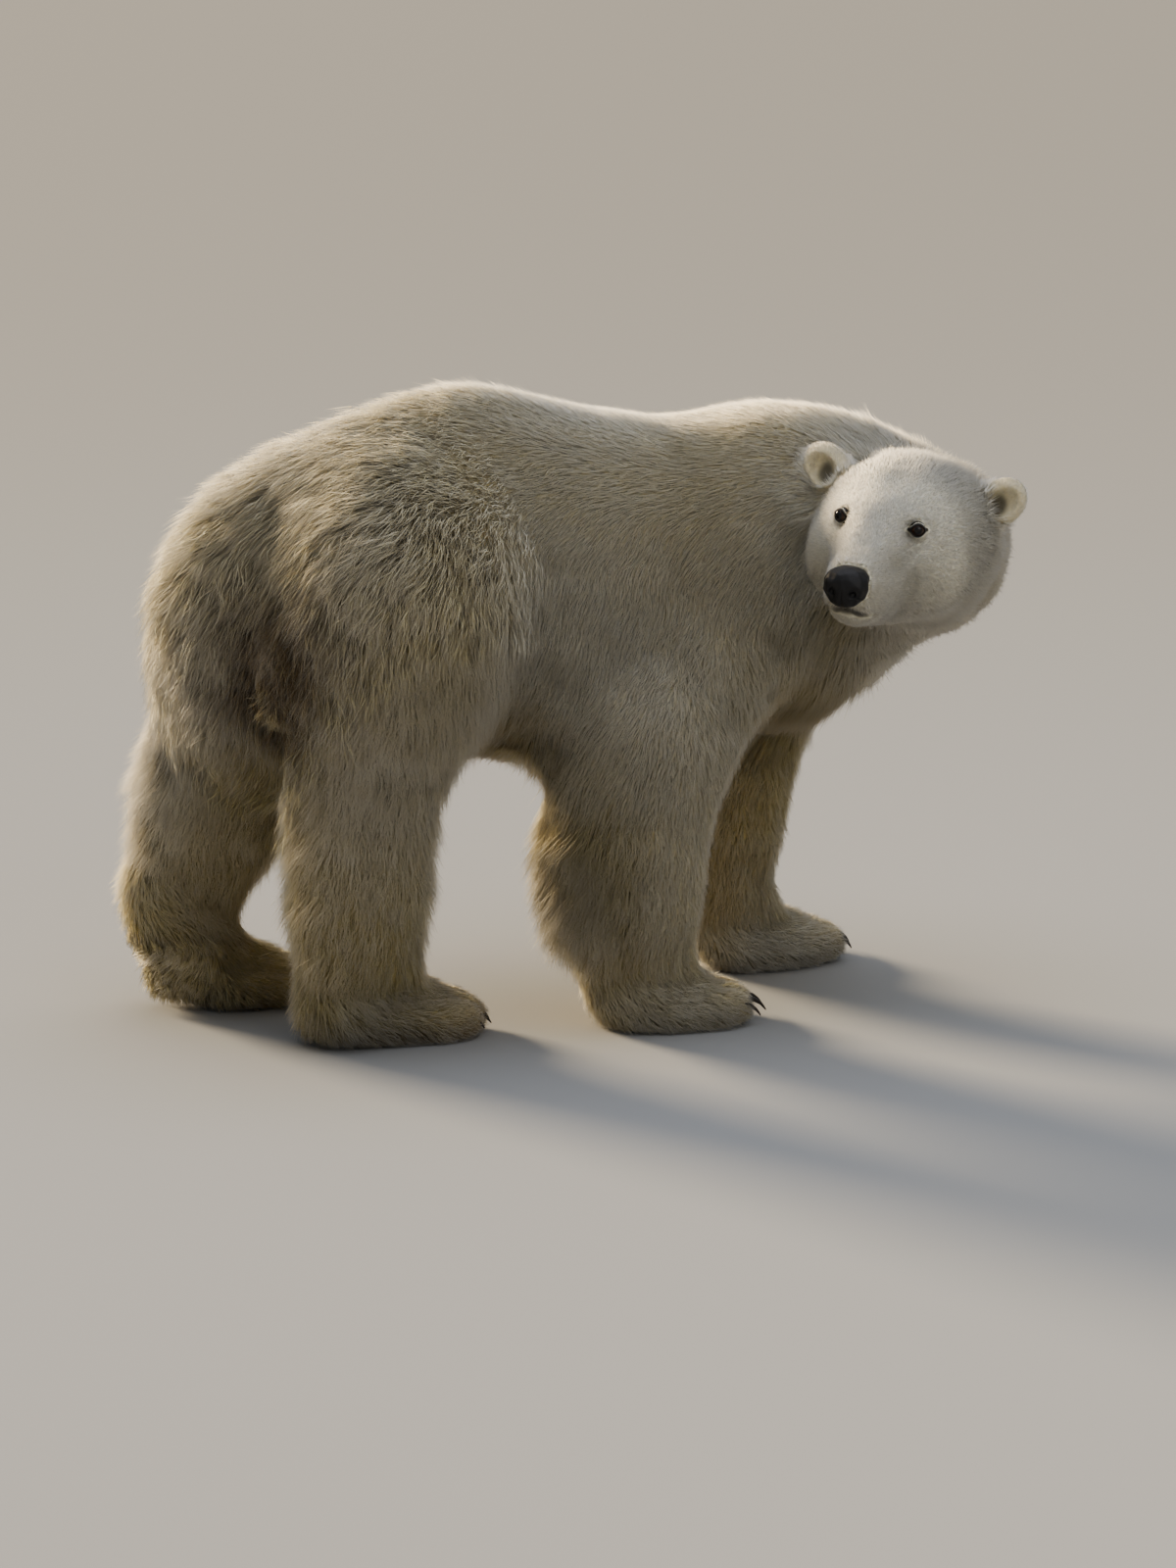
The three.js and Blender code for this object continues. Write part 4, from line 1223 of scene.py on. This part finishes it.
trunk_faces = faces_of("trunk")
rump = trunk_faces & (trunk_reach < 0.18)
loin = trunk_faces & (trunk_reach >= 0.18) & (trunk_reach < 0.50)
shoulders = trunk_faces & (trunk_reach >= 0.50)
face = faces_of("head", "eye_left", "eye_right", "ear_left", "ear_right")
# Each piece's map is unwrapped round its own line, from one place to another.
rump_axis = np.array([[0.20, 0.75, 0.72], [0.08, 0.20, 0.72]])
loin_axis = np.array([[0.10, 0.25, 0.75], [0.05, -0.15, 0.75]])
shoulder_axis = np.array([[0.04, -0.10, 0.78], [-0.02, -0.50, 0.78]])
neck_axis = np.array([[0.10, -0.55, 0.85], [-0.25, -0.60, 0.85]])
heel_axis = np.array([[0.44, 0.60, 0.25], [0.42, 0.45, 0.0]])
face_axis = (from_head(0, 260, -60), from_head(0, -160, -80))
COATS = [
    ("coat_rump", rump, 14000, CURVED, rump_axis, SHAGGY),
    ("coat_rump_under", rump, 43000, STRAIGHT, rump_axis, FLUFFY),
    ("coat_tail", faces_of("tail"), 3000, CURVED, rump_axis, TRAILING),
    ("coat_loin", loin, 43000, STRAIGHT, loin_axis, SLEEK),
    ("coat_shoulders", shoulders, 45000, STRAIGHT, shoulder_axis, SLEEK),
    ("coat_neck", faces_of("neck"), 28000, STRAIGHT, neck_axis, SLEEK),
    ("coat_head", face, 47000, STRAIGHT, face_axis, VELVET),
]
for name in FORELEGS + HINDLEGS + PAWS:
    low, high = (np.array(corner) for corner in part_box(name))
    upper, lower = (low + high) / 2, (low + high) / 2
    upper[2], lower[2] = high[2], low[2]
    if name in PAWS:
        COATS.append((f"coat_{name}", faces_of(name), 9000, STRAIGHT, (upper, lower), TOED))
    else:
        look = FRINGED if name in FORELEGS else FLUFFY
        COATS.append((f"coat_{name}", faces_of(name), 24000, STRAIGHT, (upper, lower), look))

heel = faces_of("hindpaw_left") & (lifted[TRIANGLES].mean(axis=1) > 0.35)
COATS.append(("coat_heel", heel, 2600, CURVED, heel_axis, HANGING))

total = 0
for name, chosen_faces, count, lock, axis, look in COATS:
    total += len(lay(name, TRIANGLES[chosen_faces], count, lock, axis, look).data.polygons)
print("the coat has", total, "triangles")

# %% [markdown]
# ## Floor, light and camera
# The floor is plain and pale. Fur shows best against the light, so the strongest lamp is a
# soft, warm and low sun from behind, and two pale lamps and the sky fill its shadows. The
# camera stands far off, looks down a little, and has a long lens.

# %% Floor
floor_shape = bmesh.new()
bmesh.ops.create_grid(floor_shape, x_segments=1, y_segments=1, size=60)
floor = piece_from(floor_shape, "floor")
floor_material, tree = new_material("plain pale floor")
shader = add(tree, "ShaderNodeBsdfPrincipled",
             {"Base Color": linear("#A4A6A8"), "Roughness": 0.9, "Specular IOR Level": 0.1})
add(tree, "ShaderNodeOutputMaterial", {"Surface": shader.outputs[0]})
floor.data.materials.append(floor_material)

# %% Camera and lamps
AIM = Vector((0.0408, -0.0101, 0.41))  # in the middle of the body
CAMERA_AZIMUTH, CAMERA_HEIGHT, CAMERA_DISTANCE = math.radians(236), math.radians(12), 11.5
towards = Vector((math.sin(CAMERA_AZIMUTH) * math.cos(CAMERA_HEIGHT),
                  -math.cos(CAMERA_AZIMUTH) * math.cos(CAMERA_HEIGHT), math.sin(CAMERA_HEIGHT)))
rightward = Vector((math.cos(CAMERA_AZIMUTH), math.sin(CAMERA_AZIMUTH), 0.0))


def aimed(name, data, place, way):
    """Adds a camera or a lamp at a place, which looks or shines along way."""
    body = bpy.data.objects.new(name, data)
    body.location = place
    body.rotation_mode = "QUATERNION"
    body.rotation_quaternion = way.to_track_quat("-Z", "Y")
    bpy.context.collection.objects.link(body)
    return body


lens = bpy.data.cameras.new("camera")
lens.lens, lens.clip_end = 148.8, 120
camera = aimed("camera", lens, AIM + towards * CAMERA_DISTANCE, -towards)
bpy.context.scene.camera = camera

sun = bpy.data.lights.new("low sun", "SUN")
sun.energy, sun.angle, sun.color = 9.0, math.radians(16), linear("#FFE6BE")[:3]
aimed("low sun", sun, Vector(), rightward * 5.2 + towards * 5.0 - Vector((0, 0, 2.9)))

CHEST = Vector((0.05, 0.0, 0.6))
for name, place, size, power, colour in (
    ("sky", AIM + Vector((0, 0, 6)), 6.0, 150, "#F2F4FF"),
    ("fill", AIM + towards * 5.0 + rightward * 3.0 + Vector((0, 0, 2.0)), 4.0, 55, "#FFF8EE"),
):
    lamp = bpy.data.lights.new(name, "AREA")
    lamp.size, lamp.energy, lamp.color = size, power, linear(colour)[:3]
    aimed(name, lamp, place, CHEST - place)

world = bpy.data.worlds.new("soft sky")
bpy.context.scene.world = world
world.use_nodes = True
sky = world.node_tree.nodes["Background"].inputs
sky["Color"].default_value, sky["Strength"].default_value = linear("#D8DADC"), 0.56
bpy.context.scene.view_settings.view_transform = "AgX"
bpy.context.scene.view_settings.look = "AgX - Medium High Contrast"
